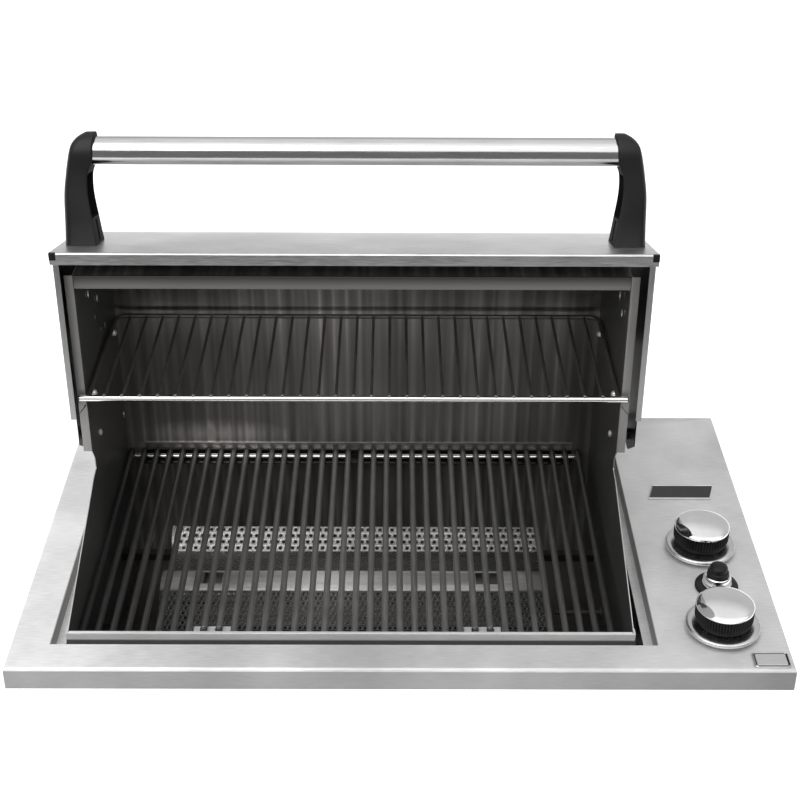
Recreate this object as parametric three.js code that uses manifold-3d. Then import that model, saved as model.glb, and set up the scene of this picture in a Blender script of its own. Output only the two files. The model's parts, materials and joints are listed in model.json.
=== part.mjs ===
// Drop-in gas grill with its hood open: a deck plate that hangs in a counter cut-out, a sheet-metal
// firebox and rear oven behind it, a hood on two pivots, and a control strip on the right.
// Millimetres, +Z up. The deck frame below has x = 0 at the deck's middle, y = 0 at its front edge
// and z = 0 on its top face; the exported group moves it to the middle of the part's footprint.
import * as THREE from "three";
import { mergeVertices } from "three/addons/utils/BufferGeometryUtils.js";
import Module from "manifold-3d";

const wasm = await Module();
wasm.setup();

// Named sizes

const overrun = 6; // how far every cutter runs past the face that it opens
const seatGap = 0.3; // between pieces that touch on the real object
const sheet = 1.2; // folded stainless sheet

// Firebox: half its outer width, its depth, and heights about the deck's top face.
const wall = { half: 316.4, front: 55, depth: 437, rim: 5, floor: -205, hem: 4, tab: { length: 10, drop: 24 } };
const margin = { left: 60.6, right: 170.6, rear: 42 }; // deck round the firebox, the control strip on the right
const centreX = (margin.left - margin.right) / 2; // middle of the firebox
const backY = wall.front + wall.depth; // outer face of the firebox's and the oven's back
const wallRight = centreX + wall.half; // outer face of the right side wall

const oven = { depth: 218, height: 168.5, straight: 18.5, lip: 16, flange: 9, roll: 2.4 };
const faceY = backY - oven.depth; // front face of the oven's side flanges
wall.flange = { y: faceY, width: 9, bottom: 106, top: 171, slant: 13 };
wall.shoulder = { ahead: 10, z: 71 }; // top of the slope of the side wall's edge
wall.shoulder.y = faceY - wall.shoulder.ahead;
wall.notch = { y: faceY + wall.flange.slant, z: 75, top: 88 };
oven.back = backY;
oven.top = wall.flange.top + oven.height;
oven.crown = oven.height - oven.straight; // radius of the turn from the top to the back

const deck = { sheet: 1.5, lip: 28, bend: 3, returnFlange: 14 };
deck.width = margin.left + 2 * wall.half + margin.right;
deck.depth = backY + margin.rear;
const opening = { shift: 4, side: 21.1, frontRoom: 13, backRoom: 10, drop: 22, ledge: 11, backLedge: 6 };
const casing = { sideInset: 27, inset: 20, below: 35, flange: 10 };
casing.halfWidth = deck.width / 2 - casing.sideInset;
casing.front = casing.inset;
casing.back = deck.depth - casing.inset;
casing.depth = casing.below - wall.floor;
const slot = { length: 60, height: 6, pitch: 14, rows: 4, fromTop: 60 }; // vents in the casing
const rib = { width: 26, foot: 12, inset: 110 }; // carries the firebox's floor

const pivot = { backGap: 166, z: 101 };
pivot.y = backY - pivot.backGap;
const bolt = { head: 4.4, dome: 3, shank: 2.6, clear: 0.3, nut: 5, nutThick: 3.4, bush: 7, shoulder: 5 };
const stopStud = { radius: 5, backGap: 92, z: 81.5 };
stopStud.y = backY - stopStud.backGap;
// Pressed marks on the oven's inner side faces, as shares of the oven's depth and height.
const dimple = { radius: 3.2, proud: 0.9 };
const dimpleShares = {
  left: [[0.257, 0.7], [0.472, 0.522], [0.431, 0.398], [0.67, 0.178], [0.546, 0.22]],
  right: [[0.17, 0.76], [0.326, 0.629], [0.119, 0.659]],
};

// Hood: its lip's corner is ahead of the oven's face, and its drum clears the oven's crown.
const hood = { ahead: 22, clear: 7.6, rise: 31.3, gap: 17.8, lip: 15, strip: 6.6, sheet: 1.2, arcSteps: 22 };
hood.shift = 3.3; // the hood sits a little right on its pivots
hood.face = faceY - hood.ahead;
hood.drum = oven.top - pivot.z + hood.clear; // outer radius of the drum about the pivot
hood.reach = hood.drum + hood.rise; // height of the lip's corner over the pivot
hood.half = wall.half + hood.gap;
const hoodX = centreX + hood.shift;
const hoodEdge = { out: 3.3, deep: 7 };
const ear = { front: 48, foot: 11, radius: 19, drop: 3, stripEnd: 62.5 }; // round the pivot, heights above it

const post = { bevel: 6, depth: 51, width: 36.6, height: 125.6, inset: 40.6, standoff: 105, footStart: 51.5 };
post.inner = hood.half - post.inset;
const pocket = { wall: 5, depth: 20, bottom: 30, top: 80 }; // hollow in each post's inner face
// Rows up the post: share of its height, inner and outer edge as shares of its width, share of its depth.
post.rowShares = [
  [0, 0, 1, 1],
  [0.19, 0.1, 1, 0.9],
  [0.44, 0.23, 1, 0.82],
  [0.62, 0.23, 0.93, 0.79],
  [0.73, 0.1, 0.87, 0.79],
  [0.83, 0.06, 0.8, 0.79],
  [0.9, 0.05, 0.72, 0.72],
  [0.96, 0.02, 0.55, 0.56],
  [1, 0.02, 0.32, 0.3],
];
const bar = { radius: 16, seat: 9, sides: 28 };

const grid = { pitch: 17.31, z: -24, rodRadius: 3.9, frontGap: 11, backGap: 8, sideGap: 3.5, shorter: 32 };
grid.shift = -5.7; // both grids sit a little left in the firebox
grid.front = wall.front + grid.frontGap;
grid.back = backY - grid.backGap;
grid.shortFront = grid.front + grid.shorter;
grid.rods = Math.floor((wall.half - grid.sideGap) / grid.pitch);
const gridBar = { radius: 3.4, inset: 6, below: 6.1 };
const tab = { width: 43, lap: 3.5, thick: 1.6 }; // the strip under the two short rods of each grid

const rack = { pitch: 20.9, barRadius: 4, wire: 3, rod: 2.3, corner: 22, above: 13, ahead: 6.5, backGap: 14 };
const rackSide = { bar: 6.6, frame: 6, frameBack: 10.4, rods: 23 }; // from the side wall's outer face
rack.z = wall.flange.top + rack.above;
rack.front = faceY - rack.ahead;
rack.back = backY - rack.backGap;
rack.barHalf = wall.half + rackSide.bar;
rack.sideHalf = wall.half - rackSide.frame;
rack.backHalf = wall.half - rackSide.frameBack;
rack.rods = 1 + 2 * Math.floor((wall.half - rackSide.rods) / rack.pitch);
const pin = { radius: 4.5, reach: 7, dome: 2, shank: 2.2, nut: 3.6, nutThick: 2.5, frontGap: 19.5, backGap: 46 };
pin.frontY = faceY + pin.frontGap;
pin.backY = backY - pin.backGap;
pin.z = rack.z - rack.wire - seatGap - pin.radius;

const burner = { radius: 14, sheet: 1.3, above: 55, room: 79.4, bendRun: 156, bendGap: 25.4, apart: 85, backGap: 167 };
burner.z = wall.floor + burner.above;
burner.left = centreX - wall.half + burner.room;
burner.bendRight = wallRight - burner.bendGap;
burner.bendLeft = burner.bendRight - burner.bendRun;
burner.y = { front: backY - burner.backGap - burner.apart, rear: backY - burner.backGap };
const bell = { radius: 19, length: 14 };
const port = { radius: 1.7, pitch: 24, count: 13 };
const burnerHole = 0.4; // clearance of a burner in the firebox wall

// Flame cover, from its back edge forward: runs along Y and heights over the burners.
const cover = { half: 242, sheet: 1.4, shift: -3, rearGap: 85, rearHeight: 53, strip: 28, valleyHeight: 33 };
const crest = { slope: 87, run: 44, bulge: 5, height: 66, toe: 42, toeHeight: 38 };
cover.back = [backY - cover.rearGap, burner.z + cover.rearHeight];
cover.valley = [cover.back[0] - cover.strip, burner.z + cover.valleyHeight];
cover.crestBack = [cover.valley[0] - crest.slope, burner.z + crest.height];
cover.crestFront = [cover.crestBack[0] - crest.run, burner.z + crest.height];
cover.toe = [cover.crestFront[0] - crest.toe, burner.z + crest.toeHeight];
cover.centreX = centreX + cover.shift;
const coverHole = { margin: 7, pitch: 16.1, radius: 3.2 };
const coverWindow = { width: 30, depth: 20, inset: 50 };

const control = { inset: 69, frontY: 71.6, pitch: 153.5, bellGap: 41 };
control.x = deck.width / 2 - control.inset;
control.y = { front: control.frontY, rear: control.frontY + control.pitch };
burner.rightEnd = control.x - control.bellGap;
const valve = { half: 13, top: -62, below: 15, spout: 5.5, lap: 4, neck: 8.5, bore: 30 };
valve.bottom = burner.z - valve.below;
valve.spoutEnd = burner.rightEnd - valve.lap;
const stem = { radius: 4, top: 26, bottom: -24, flat: 2.6, clear: 0.35, deckHole: 6.5 };
const bezel = { radius: 42, shoulder: 39.5, dish: 35, floor: 7.2, rise: 1, base: 4, top: 9.5, bore: 9, foot: 32 };
const knob = { radius: 32, base: 12, top: 31.4, lobes: 15, lobe: 1.3, travel: 3 };
const cap = { radius: 32.6, rim: 34, crown: 41.5 };
const facet = { inner: 17, turn: 0.42, aim: 0.4 }; // the slanted cut of the cap that points

const manifold = { radius: 10, bore: 7.5, offset: 25, inset: 24, backInset: 14, above: 40, boss: 9, cap: 4 };
manifold.x = control.x + manifold.offset;
manifold.front = casing.front + manifold.inset;
manifold.back = casing.back - manifold.backInset;
manifold.z = burner.z + manifold.above;
const inlet = { radius: 12, bore: 7.5, proud: 16, collar: 15, collarThick: 3 };

const igniter = { offset: 7, y: 149, base: 25, baseTop: 5, collar: 17.5, collarTop: 18, cap: 12.4, capTop: 33 };
igniter.x = control.x + igniter.offset;
const press = { stem: 5.6, below: 20, travel: 3 }; // the igniter's button
const module = { radius: 13, bottom: -66 };
const electrode = { radius: 3.4, wire: 1, reach: 61.4, wireReach: 10, tail: 12.6, behind: 36, above: 12 };
const electrodeCollar = { radius: 6, thick: 3 };
electrode.tip = wallRight - electrode.reach;
electrode.y = burner.y.front + electrode.behind;
electrode.z = burner.z + electrode.above;

const pan = { half: 212, frontGap: 41, backGap: 42, height: 17, sheet: 1.2, rim: 6, shift: -2 };
pan.front = wall.front + pan.frontGap;
pan.back = backY - pan.backGap;
const shield = { gap: 34.6, hole: 22 };
shield.x = wallRight + shield.gap;

const rail = { width: 24, sheet: 1.5, leafTop: -15, inset: 25.4 };
rail.half = wall.half - rail.inset;
const coverRail = { width: 12, sheet: 1.5, drop: 10 };
const saddle = { lap: 6, sheet: 1.5, margin: 22, foot: 16, clear: 0.3 };
saddle.x = burner.left + saddle.lap;
saddle.front = burner.y.front - saddle.margin;
saddle.back = burner.y.rear + saddle.margin;

const nameplate = { offset: -3.5, y: 345, width: 88, depth: 31, slant: 9, thick: 3 };
nameplate.x = control.x + nameplate.offset;
const badge = { inset: 25.5, y: 16, width: 40, depth: 25, corner: 4, thick: 2.5 };
badge.x = deck.width / 2 - badge.inset;

// Solids

// A closed manifold solid from a three.js geometry.
function solid(geometry) {
  const plain = geometry.index ? geometry.toNonIndexed() : geometry.clone();
  plain.deleteAttribute("normal");
  plain.deleteAttribute("uv");
  const merged = mergeVertices(plain, 1e-3);
  const vertProperties = merged.attributes.position.array;
  const triVerts = new Uint32Array(merged.index.array);
  return new wasm.Manifold(new wasm.Mesh({ numProp: 3, vertProperties, triVerts }));
}

// A three.js geometry from a manifold solid.
function geometryOf(body) {
  const mesh = body.getMesh();
  const geometry = new THREE.BufferGeometry();
  geometry.setAttribute("position", new THREE.BufferAttribute(new Float32Array(mesh.vertProperties), 3));
  geometry.setIndex(new THREE.BufferAttribute(new Uint32Array(mesh.triVerts), 1));
  const flat = geometry.toNonIndexed();
  flat.computeVertexNormals();
  return flat;
}

function block(x0, x1, y0, y1, z0, z1) {
  const geometry = new THREE.BoxGeometry(x1 - x0, y1 - y0, z1 - z0);
  return solid(geometry.translate((x0 + x1) / 2, (y0 + y1) / 2, (z0 + z1) / 2));
}

function shapeOf(points) {
  return new THREE.Shape(points.map(([a, b]) => new THREE.Vector2(a, b)));
}

function prism(points, length) {
  const area = THREE.ShapeUtils.area(points.map(([a, b]) => new THREE.Vector2(a, b)));
  const ordered = area < 0 ? [...points].reverse() : points;
  return new THREE.ExtrudeGeometry(shapeOf(ordered), { depth: length, bevelEnabled: false });
}

// A profile given as [y, z] points, run along X.
function alongX(points, x0, x1) {
  const turn = new THREE.Matrix4().set(0, 0, 1, x0, 1, 0, 0, 0, 0, 1, 0, 0, 0, 0, 0, 1);
  return solid(prism(points, x1 - x0).applyMatrix4(turn));
}

// A profile given as [x, z] points, run along Y.
function alongY(points, y0, y1) {
  const turn = new THREE.Matrix4().set(1, 0, 0, 0, 0, 0, -1, y1, 0, 1, 0, 0, 0, 0, 0, 1);
  return solid(prism(points, y1 - y0).applyMatrix4(turn));
}

// A profile given as [x, y] points, run up Z.
function alongZ(points, z0, z1) {
  return solid(prism(points, z1 - z0).translate(0, 0, z0));
}

function disc(radius, sides, turn = 0) {
  return Array.from({ length: sides }, (_, i) => {
    const angle = turn + (2 * Math.PI * i) / sides;
    return [radius * Math.cos(angle), radius * Math.sin(angle)];
  });
}

function moved(points, dx, dy) {
  return points.map(([a, b]) => [a + dx, b + dy]);
}

function rodX(radius, sides, x0, x1, y, z) {
  return alongX(moved(disc(radius, sides), y, z), x0, x1);
}

function rodY(radius, sides, y0, y1, x, z) {
  return alongY(moved(disc(radius, sides), x, z), y0, y1);
}

function rodZ(radius, sides, z0, z1, x, y) {
  return alongZ(moved(disc(radius, sides), x, y), z0, z1);
}

// A profile of [radius, z] points turned about the upright axis at x, y.
function turned(points, sides, x, y) {
  const closed = [...points, points[0]].map(([r, z]) => new THREE.Vector2(r, z));
  const geometry = new THREE.LatheGeometry(closed, sides);
  const body = solid(geometry.rotateX(Math.PI / 2).translate(x, y, 0));
  return body.volume() < 0 ? solid(flipped(geometry)) : body;
}

// The same geometry with its faces the other way round.
function flipped(geometry) {
  const plain = geometry.index ? geometry.toNonIndexed() : geometry.clone();
  const places = plain.attributes.position.array;
  for (let i = 0; i < places.length; i += 9) {
    for (let k = 0; k < 3; k++) {
      [places[i + 3 + k], places[i + 6 + k]] = [places[i + 6 + k], places[i + 3 + k]];
    }
  }
  return plain;
}

// A profile of [radius, x] points turned about the axis along X at y, z; x is given in deck places.
function turnedX(points, sides, y, z) {
  const closed = [...points, points[0]].map(([r, x]) => new THREE.Vector2(r, x));
  const geometry = new THREE.LatheGeometry(closed, sides).rotateZ(-Math.PI / 2).translate(0, y, z);
  const body = solid(geometry);
  return body.volume() < 0 ? solid(flipped(geometry)) : body;
}

// A path through given corners, for sweeping a section from corner to corner.
class Path extends THREE.Curve {
  constructor(points) {
    super();
    this.corners = points.map(([x, y, z]) => new THREE.Vector3(x, y, z));
  }

  getSpacedPoints() {
    return this.corners;
  }

  getTangentAt(share, target = new THREE.Vector3()) {
    const last = this.corners.length - 1;
    const i = Math.round(share * last);
    const before = this.corners[Math.max(i - 1, 0)];
    const here = this.corners[i];
    const after = this.corners[Math.min(i + 1, last)];
    const into = here.clone().sub(before).normalize();
    const out = after.clone().sub(here).normalize();
    return target.copy(into).add(out).normalize();
  }
}

// A bar of round section through a list of [x, y, z] corners.
function tube(points, radius, sides) {
  const path = new Path(points);
  const options = { steps: points.length - 1, bevelEnabled: false, extrudePath: path };
  return solid(new THREE.ExtrudeGeometry(shapeOf(disc(radius, sides, Math.PI / sides)), options));
}

// A closed body through rings of points, all with the same number of points, with flat ends.
function loft(rings) {
  const places = [];
  const tri = (...corners) => corners.forEach((corner) => places.push(...corner));
  const n = rings[0].length;
  for (const [low, high] of rings.slice(1).map((ring, i) => [rings[i], ring])) {
    range(n).forEach((i) => {
      const j = (i + 1) % n;
      tri(low[i], low[j], high[j]);
      tri(low[i], high[j], high[i]);
    });
  }
  const end = rings[rings.length - 1];
  range(n - 2).forEach((i) => {
    tri(rings[0][0], rings[0][i + 2], rings[0][i + 1]);
    tri(end[0], end[i + 1], end[i + 2]);
  });
  const geometry = new THREE.BufferGeometry();
  geometry.setAttribute("position", new THREE.BufferAttribute(new Float32Array(places), 3));
  const body = solid(geometry);
  return body.volume() < 0 ? solid(flipped(geometry)) : body;
}

// A strip of even thickness to the right of an open line of points, as one closed outline.
function ribbon(points, thickness) {
  return [...points, ...beside(points, thickness).reverse()];
}

// The same open line, moved to its right by one distance.
function beside(points, distance) {
  const at = points.map(([a, b]) => new THREE.Vector2(a, b));
  return at.map((p, i) => {
    const before = i > 0 ? p.clone().sub(at[i - 1]).normalize() : null;
    const after = i < at.length - 1 ? at[i + 1].clone().sub(p).normalize() : null;
    const one = before ?? after;
    const two = after ?? before;
    const n1 = new THREE.Vector2(one.y, -one.x);
    const n2 = new THREE.Vector2(two.y, -two.x);
    const middle = n1.clone().add(n2).normalize();
    const q = p.clone().addScaledVector(middle, distance / middle.dot(n1));
    return [q.x, q.y];
  });
}

function arc(cx, cy, radius, from, to, steps) {
  return Array.from({ length: steps + 1 }, (_, i) => {
    const angle = from + ((to - from) * i) / steps;
    return [cx + radius * Math.cos(angle), cy + radius * Math.sin(angle)];
  });
}

function addAll(bodies) {
  return bodies.reduce((sum, body) => sum.add(body));
}

function cutAll(body, cutters) {
  return cutters.reduce((rest, cutter) => rest.subtract(cutter), body);
}

// One solid from many copies of a prism that stand clear of each other.
function scattered(geometry, placements) {
  const source = geometry.index ? geometry.toNonIndexed() : geometry;
  const parts = placements.map((matrix) => source.clone().applyMatrix4(matrix).attributes.position.array);
  const all = new Float32Array(parts.reduce((n, p) => n + p.length, 0));
  let at = 0;
  for (const p of parts) {
    all.set(p, at);
    at += p.length;
  }
  return solid(new THREE.BufferGeometry().setAttribute("position", new THREE.BufferAttribute(all, 3)));
}

const mirror = { left: -1, right: 1 };
const range = (n) => Array.from({ length: n }, (_, i) => i);

// A solid whose x runs from the firebox's middle outward, on one side of it.
function spanX(side, from, to, middle = centreX) {
  const a = middle + mirror[side] * from;
  const b = middle + mirror[side] * to;
  return [Math.min(a, b), Math.max(a, b)];
}

// How far from the firebox's middle the hood's side is, on one side of it.
function hoodReach(side) {
  return hood.half + mirror[side] * hood.shift;
}

const brushed = { color: 0xc4c4c1, roughness: 0.34, metalness: 1 };
const heated = { color: 0x5d5a56, roughness: 0.38, metalness: 1 };
const galvanised = { color: 0xa7aaab, roughness: 0.5, metalness: 1 };
const chrome = { color: 0xe2e2e2, roughness: 0.08, metalness: 1 };
const rodSteel = { color: 0x77736d, roughness: 0.4, metalness: 1 };
const castBlack = { color: 0x242425, roughness: 0.45, metalness: 0.1 };
const rubber = { color: 0x121213, roughness: 0.75, metalness: 0 };
const brass = { color: 0xb08d4a, roughness: 0.35, metalness: 1 };
const ceramic = { color: 0xdedbd2, roughness: 0.5, metalness: 0 };

const assembly = new THREE.Group();
assembly.name = "deck_frame";

function place(name, body, look, parent = assembly) {
  const mesh = new THREE.Mesh(geometryOf(body), new THREE.MeshStandardMaterial(look));
  mesh.name = name;
  parent.add(mesh);
  return mesh;
}

// Deck plate

// A folded pan open below: the outside of a plate with bent edges, at one depth inside its outer face.
function foldedPan(inset, bottom) {
  const bend = deck.bend - inset;
  const top = -inset;
  const edge = (low, high) => [
    [low + inset, bottom],
    ...arc(low + deck.bend, -deck.bend, bend, Math.PI, Math.PI / 2, 2),
    ...arc(high - deck.bend, -deck.bend, bend, Math.PI / 2, 0, 2),
    [high - inset, bottom],
  ];
  const half = deck.width / 2;
  const across = alongX(edge(0, deck.depth), -half - overrun, half + overrun);
  const along = alongY(edge(-half, half), -overrun, deck.depth + overrun);
  return across.intersect(along).intersect(block(-half, half, 0, deck.depth, bottom, top));
}

function makeDeckPanel() {
  const half = deck.width / 2;
  const t = deck.sheet;
  const inside = foldedPan(t, -deck.lip + t);
  const r = deck.returnFlange;
  const below = block(-half + r, half - r, r, deck.depth - r, -deck.lip - overrun, -deck.lip + t + t);
  const { shift, side, drop, ledge, backLedge } = opening;
  const x0 = centreX + shift - wall.half - side;
  const x1 = centreX + shift + wall.half + side;
  const front = wall.front - opening.frontRoom;
  const back = backY + opening.backRoom;
  const tub = block(x0 - t, x1 + t, front - t, back + t, -drop - t, -t / 2);
  const tubInside = block(x0, x1, front, back, -drop, overrun);
  const mouth = block(x0 + ledge, x1 - ledge, front + ledge, back - backLedge, -drop - overrun, overrun);
  const holes = [
    rodZ(stem.deckHole, 16, -overrun, overrun, control.x, control.y.front),
    rodZ(stem.deckHole, 16, -overrun, overrun, control.x, control.y.rear),
    rodZ(stem.deckHole, 16, -overrun, overrun, igniter.x, igniter.y),
  ];
  const plate = cutAll(foldedPan(0, -deck.lip), [inside, below]);
  return cutAll(plate.add(tub), [tubInside, mouth, ...holes]);
}

place("deck_panel", makeDeckPanel(), brushed);

// Outer casing, heat shield

function slotRows(wallFrom, wallTo, along) {
  const { length, height, pitch, rows, fromTop } = slot;
  return range(rows).flatMap((row) =>
    [-1, 1].map((column) => {
      const z = -fromTop - row * pitch;
      const middle = along + column * length;
      return [middle - length / 2, middle + length / 2, z - height / 2, z + height / 2, wallFrom, wallTo];
    }),
  );
}

function makeCasing() {
  const { halfWidth: w, front, back, depth, flange } = casing;
  const top = -deck.sheet;
  const inside = block(-w + sheet, w - sheet, front + sheet, back - sheet, -depth + sheet, top - sheet);
  const mouth = block(-w + flange, w - flange, front + flange, back - flange, top - 2 * sheet, overrun);
  const hat = (x) => {
    const { width, foot } = rib;
    const z0 = -depth + sheet / 2;
    const line = [
      [x - width / 2 - foot, z0 + sheet],
      [x - width / 2, z0 + sheet],
      [x - width / 2, wall.floor - seatGap],
      [x + width / 2, wall.floor - seatGap],
      [x + width / 2, z0 + sheet],
      [x + width / 2 + foot, z0 + sheet],
    ];
    return alongY(ribbon(line, sheet), front + rib.inset, back - rib.inset);
  };
  const middleY = (front + back) / 2;
  const sideSlots = slotRows(-w - overrun, w + overrun, middleY).map(([a, b, z0, z1, x0, x1]) =>
    block(x0, x1, a, b, z0, z1),
  );
  const rearSlots = slotRows(back - overrun, back + overrun, centreX).map(([a, b, z0, z1, y0, y1]) =>
    block(a, b, y0, y1, z0, z1),
  );
  const gas = rodY(inlet.radius + seatGap, 24, back - overrun, back + overrun, manifold.x, manifold.z);
  const shell = block(-w, w, front, back, -depth, top).subtract(inside).subtract(mouth);
  const ribs = [hat(centreX - w / 2), hat(centreX + w / 2)];
  return cutAll(addAll([shell, ...ribs]), [...sideSlots, ...rearSlots, gas]);
}

function makeShield() {
  const { front, back, depth } = casing;
  const inner = [front + sheet + seatGap, back - sheet - seatGap];
  const low = -depth + sheet;
  const high = -deck.sheet - sheet - seatGap;
  const leaf = block(shield.x, shield.x + sheet, inner[0], inner[1], low, high);
  const foot = block(shield.x, shield.x + shield.hole, inner[0], inner[1], low, low + sheet);
  const holes = Object.values(control.y).map((y) =>
    rodX(shield.hole, 20, shield.x - overrun, shield.x + overrun, y, burner.z),
  );
  return cutAll(leaf.add(foot), holes);
}

place("outer_casing", makeCasing(), galvanised);
place("control_shield", makeShield(), galvanised);

// Firebox

const innerHalf = wall.half - sheet; // inner face of both side walls
const coreHalf = innerHalf - seatGap; // pieces that fit between the side walls
const splitZ = wall.flange.top; // seam between the firebox walls and the oven walls above them

function makeFireboxFront() {
  const half = wall.half + seatGap + sheet;
  const face = block(centreX - half, centreX + half, wall.front, wall.front + sheet, wall.floor, wall.rim);
  const hem = block(
    centreX - coreHalf, centreX + coreHalf,
    wall.front, wall.front + wall.hem, wall.rim - sheet, wall.rim,
  );
  const tabs = Object.keys(mirror).map((side) => {
    const [x0, x1] = spanX(side, wall.half + seatGap, half);
    return block(x0, x1, wall.front, wall.front + wall.tab.length, wall.rim - wall.tab.drop, wall.rim);
  });
  return addAll([face, hem, ...tabs]);
}

function makeFireboxSide(side) {
  const { flange, notch, shoulder } = wall;
  const front = wall.front + sheet + seatGap;
  const lean = notch.y - shoulder.y;
  const outline = [
    [front, wall.rim],
    [shoulder.y, shoulder.z],
    [notch.y - sheet, notch.z - sheet],
    [notch.y, notch.z],
    [notch.y, notch.top],
    [flange.y + lean / 3, (notch.top + flange.bottom) / 2],
    [flange.y, flange.bottom],
    [flange.y, splitZ],
    [oven.back, splitZ],
    [oven.back, wall.floor],
    [front, wall.floor],
  ];
  const sign = mirror[side];
  const leaf = alongX(outline, ...spanX(side, innerHalf, wall.half));
  const edge = [
    [innerHalf, flange.bottom],
    [wall.half + flange.width, flange.bottom],
    [wall.half + flange.width, flange.top - flange.slant],
    [innerHalf, flange.top],
  ].map(([h, z]) => [centreX + sign * h, z]);
  const strip = alongY(edge, flange.y, flange.y + sheet);
  const stop = rodX(stopStud.radius, 12, ...spanX(side, innerHalf, hoodReach(side)), stopStud.y, stopStud.z);
  const pivotHole = rodX(bolt.shank + bolt.clear, 12, ...spanX(side, 0, hoodReach(side)), pivot.y, pivot.z);
  const cutters = [pivotHole];
  if (side === "right") {
    for (const y of Object.values(control.y)) {
      const [x0, x1] = spanX(side, innerHalf - overrun, wall.half + overrun);
      cutters.push(rodX(burner.radius + burnerHole, 24, x0, x1, y, burner.z));
    }
    const [x0, x1] = spanX(side, innerHalf - overrun, wall.half + overrun);
    cutters.push(rodX(electrode.radius + seatGap, 12, x0, x1, electrode.y, electrode.z));
  }
  return cutAll(addAll([leaf, strip, stop]), cutters);
}

function makeFireboxFloor() {
  const y0 = wall.front + sheet + seatGap;
  const y1 = oven.back - sheet - seatGap;
  const x0 = centreX - coreHalf;
  const floor = block(x0, x0 + 2 * coreHalf, y0, y1, wall.floor, wall.floor + sheet);
  return floor;
}

// The crown: a flat top, a quarter turn and the tall back, as one line from the lip to the floor.
function ovenLine() {
  const turnY = oven.back - oven.crown;
  const turnZ = oven.top - oven.crown;
  return [
    [wall.flange.y, oven.top - oven.lip],
    [wall.flange.y, oven.top],
    ...arc(turnY, turnZ, oven.crown, Math.PI / 2, 0, 12),
    [oven.back, wall.floor],
  ];
}

function makeOvenBack() {
  return alongX(ribbon(ovenLine(), sheet), centreX - coreHalf, centreX + coreHalf);
}

function makeOvenSide(side) {
  const turnY = oven.back - oven.crown;
  const turnZ = oven.top - oven.crown;
  const outline = [
    [wall.flange.y + oven.roll, splitZ],
    [wall.flange.y + oven.roll, oven.top],
    ...arc(turnY, turnZ, oven.crown, Math.PI / 2, 0, 12),
    [oven.back, splitZ],
  ];
  const leaf = alongX(outline, ...spanX(side, innerHalf, wall.half));
  const sign = mirror[side];
  const roll = oven.roll;
  const plan = [
    [innerHalf, wall.flange.y + 2 * roll],
    [innerHalf, wall.flange.y + roll],
    [innerHalf + sheet / 2, wall.flange.y + sheet / 2],
    [innerHalf + roll, wall.flange.y],
    [wall.half + oven.flange, wall.flange.y],
    [wall.half + oven.flange, wall.flange.y + sheet],
    [wall.half + roll, wall.flange.y + sheet],
    [wall.half, wall.flange.y + roll],
    [wall.half, wall.flange.y + 2 * roll],
  ].map(([h, y]) => [centreX + sign * h, y]);
  const rolled = alongZ(plan, splitZ, oven.top);
  const tail = [
    [innerHalf + roll, splitZ + seatGap],
    [wall.half + oven.flange, splitZ + seatGap],
    [wall.half + oven.flange, splitZ - wall.flange.slant + sheet],
    [wall.half + oven.flange / 2, splitZ - wall.flange.slant / 2 + sheet],
  ].map(([h, z]) => [centreX + sign * h, z]);
  const spur = alongY(tail, wall.flange.y, wall.flange.y + sheet);
  const cutters = [pin.frontY, pin.backY].map((y) =>
    rodX(pin.shank + seatGap, 10, ...spanX(side, innerHalf - overrun, wall.half + overrun), y, pin.z),
  );
  const marks = dimpleShares[side].map(([along, up]) => {
    const x = spanX(side, innerHalf - dimple.proud, wall.half);
    return rodX(dimple.radius, 10, ...x, faceY + along * oven.depth, splitZ + up * oven.height);
  });
  return cutAll(addAll([leaf, rolled, spur, ...marks]), cutters);
}

place("firebox_front", makeFireboxFront(), heated);
place("firebox_floor", makeFireboxFloor(), heated);
place("oven_back", makeOvenBack(), heated);
for (const side of Object.keys(mirror)) {
  place(`firebox_side_${side}`, makeFireboxSide(side), heated);
  place(`oven_side_${side}`, makeOvenSide(side), heated);
}

// Ledges inside the firebox

const shelfZ = grid.z - gridBar.below - gridBar.radius - seatGap; // the grids' cross bars rest here

function makeGridRail(wallY, inward) {
  const leafY = [wallY, wallY + inward * rail.sheet];
  const shelfY = [wallY, wallY + inward * rail.width];
  const x = [centreX - rail.half, centreX + rail.half];
  const leaf = block(...x, Math.min(...leafY), Math.max(...leafY), shelfZ - rail.sheet, rail.leafTop);
  const shelf = block(...x, Math.min(...shelfY), Math.max(...shelfY), shelfZ - rail.sheet, shelfZ);
  return leaf.add(shelf);
}

// A cross rail whose top carries one fold of the flame cover's underside.
function makeCoverRail([foldY, foldZ], share) {
  const x = [centreX - coreHalf, centreX + coreHalf];
  const t = coverRail.sheet;
  const y = foldY - share * coverRail.width;
  const z = foldZ - seatGap;
  const top = block(...x, y, y + coverRail.width, z - t, z);
  const leaf = block(...x, y, y + t, z - coverRail.drop, z);
  return top.add(leaf);
}

place("grid_rail_front", makeGridRail(wall.front + sheet + seatGap, 1), heated);
place("grid_rail_rear", makeGridRail(oven.back - sheet - seatGap, -1), heated);

// Flame cover and its two rails

function coverLine() {
  const { toe, crestFront, crestBack, valley, back } = cover;
  const middle = (crestFront[0] + crestBack[0]) / 2;
  const half = (crestBack[0] - crestFront[0]) / 2;
  const top = range(5).map((i) => {
    const across = i / 2 - 1;
    return [middle + across * half, crestFront[1] + crest.bulge * (1 - across * across)];
  });
  return [toe, ...top, valley, back];
}

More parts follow.
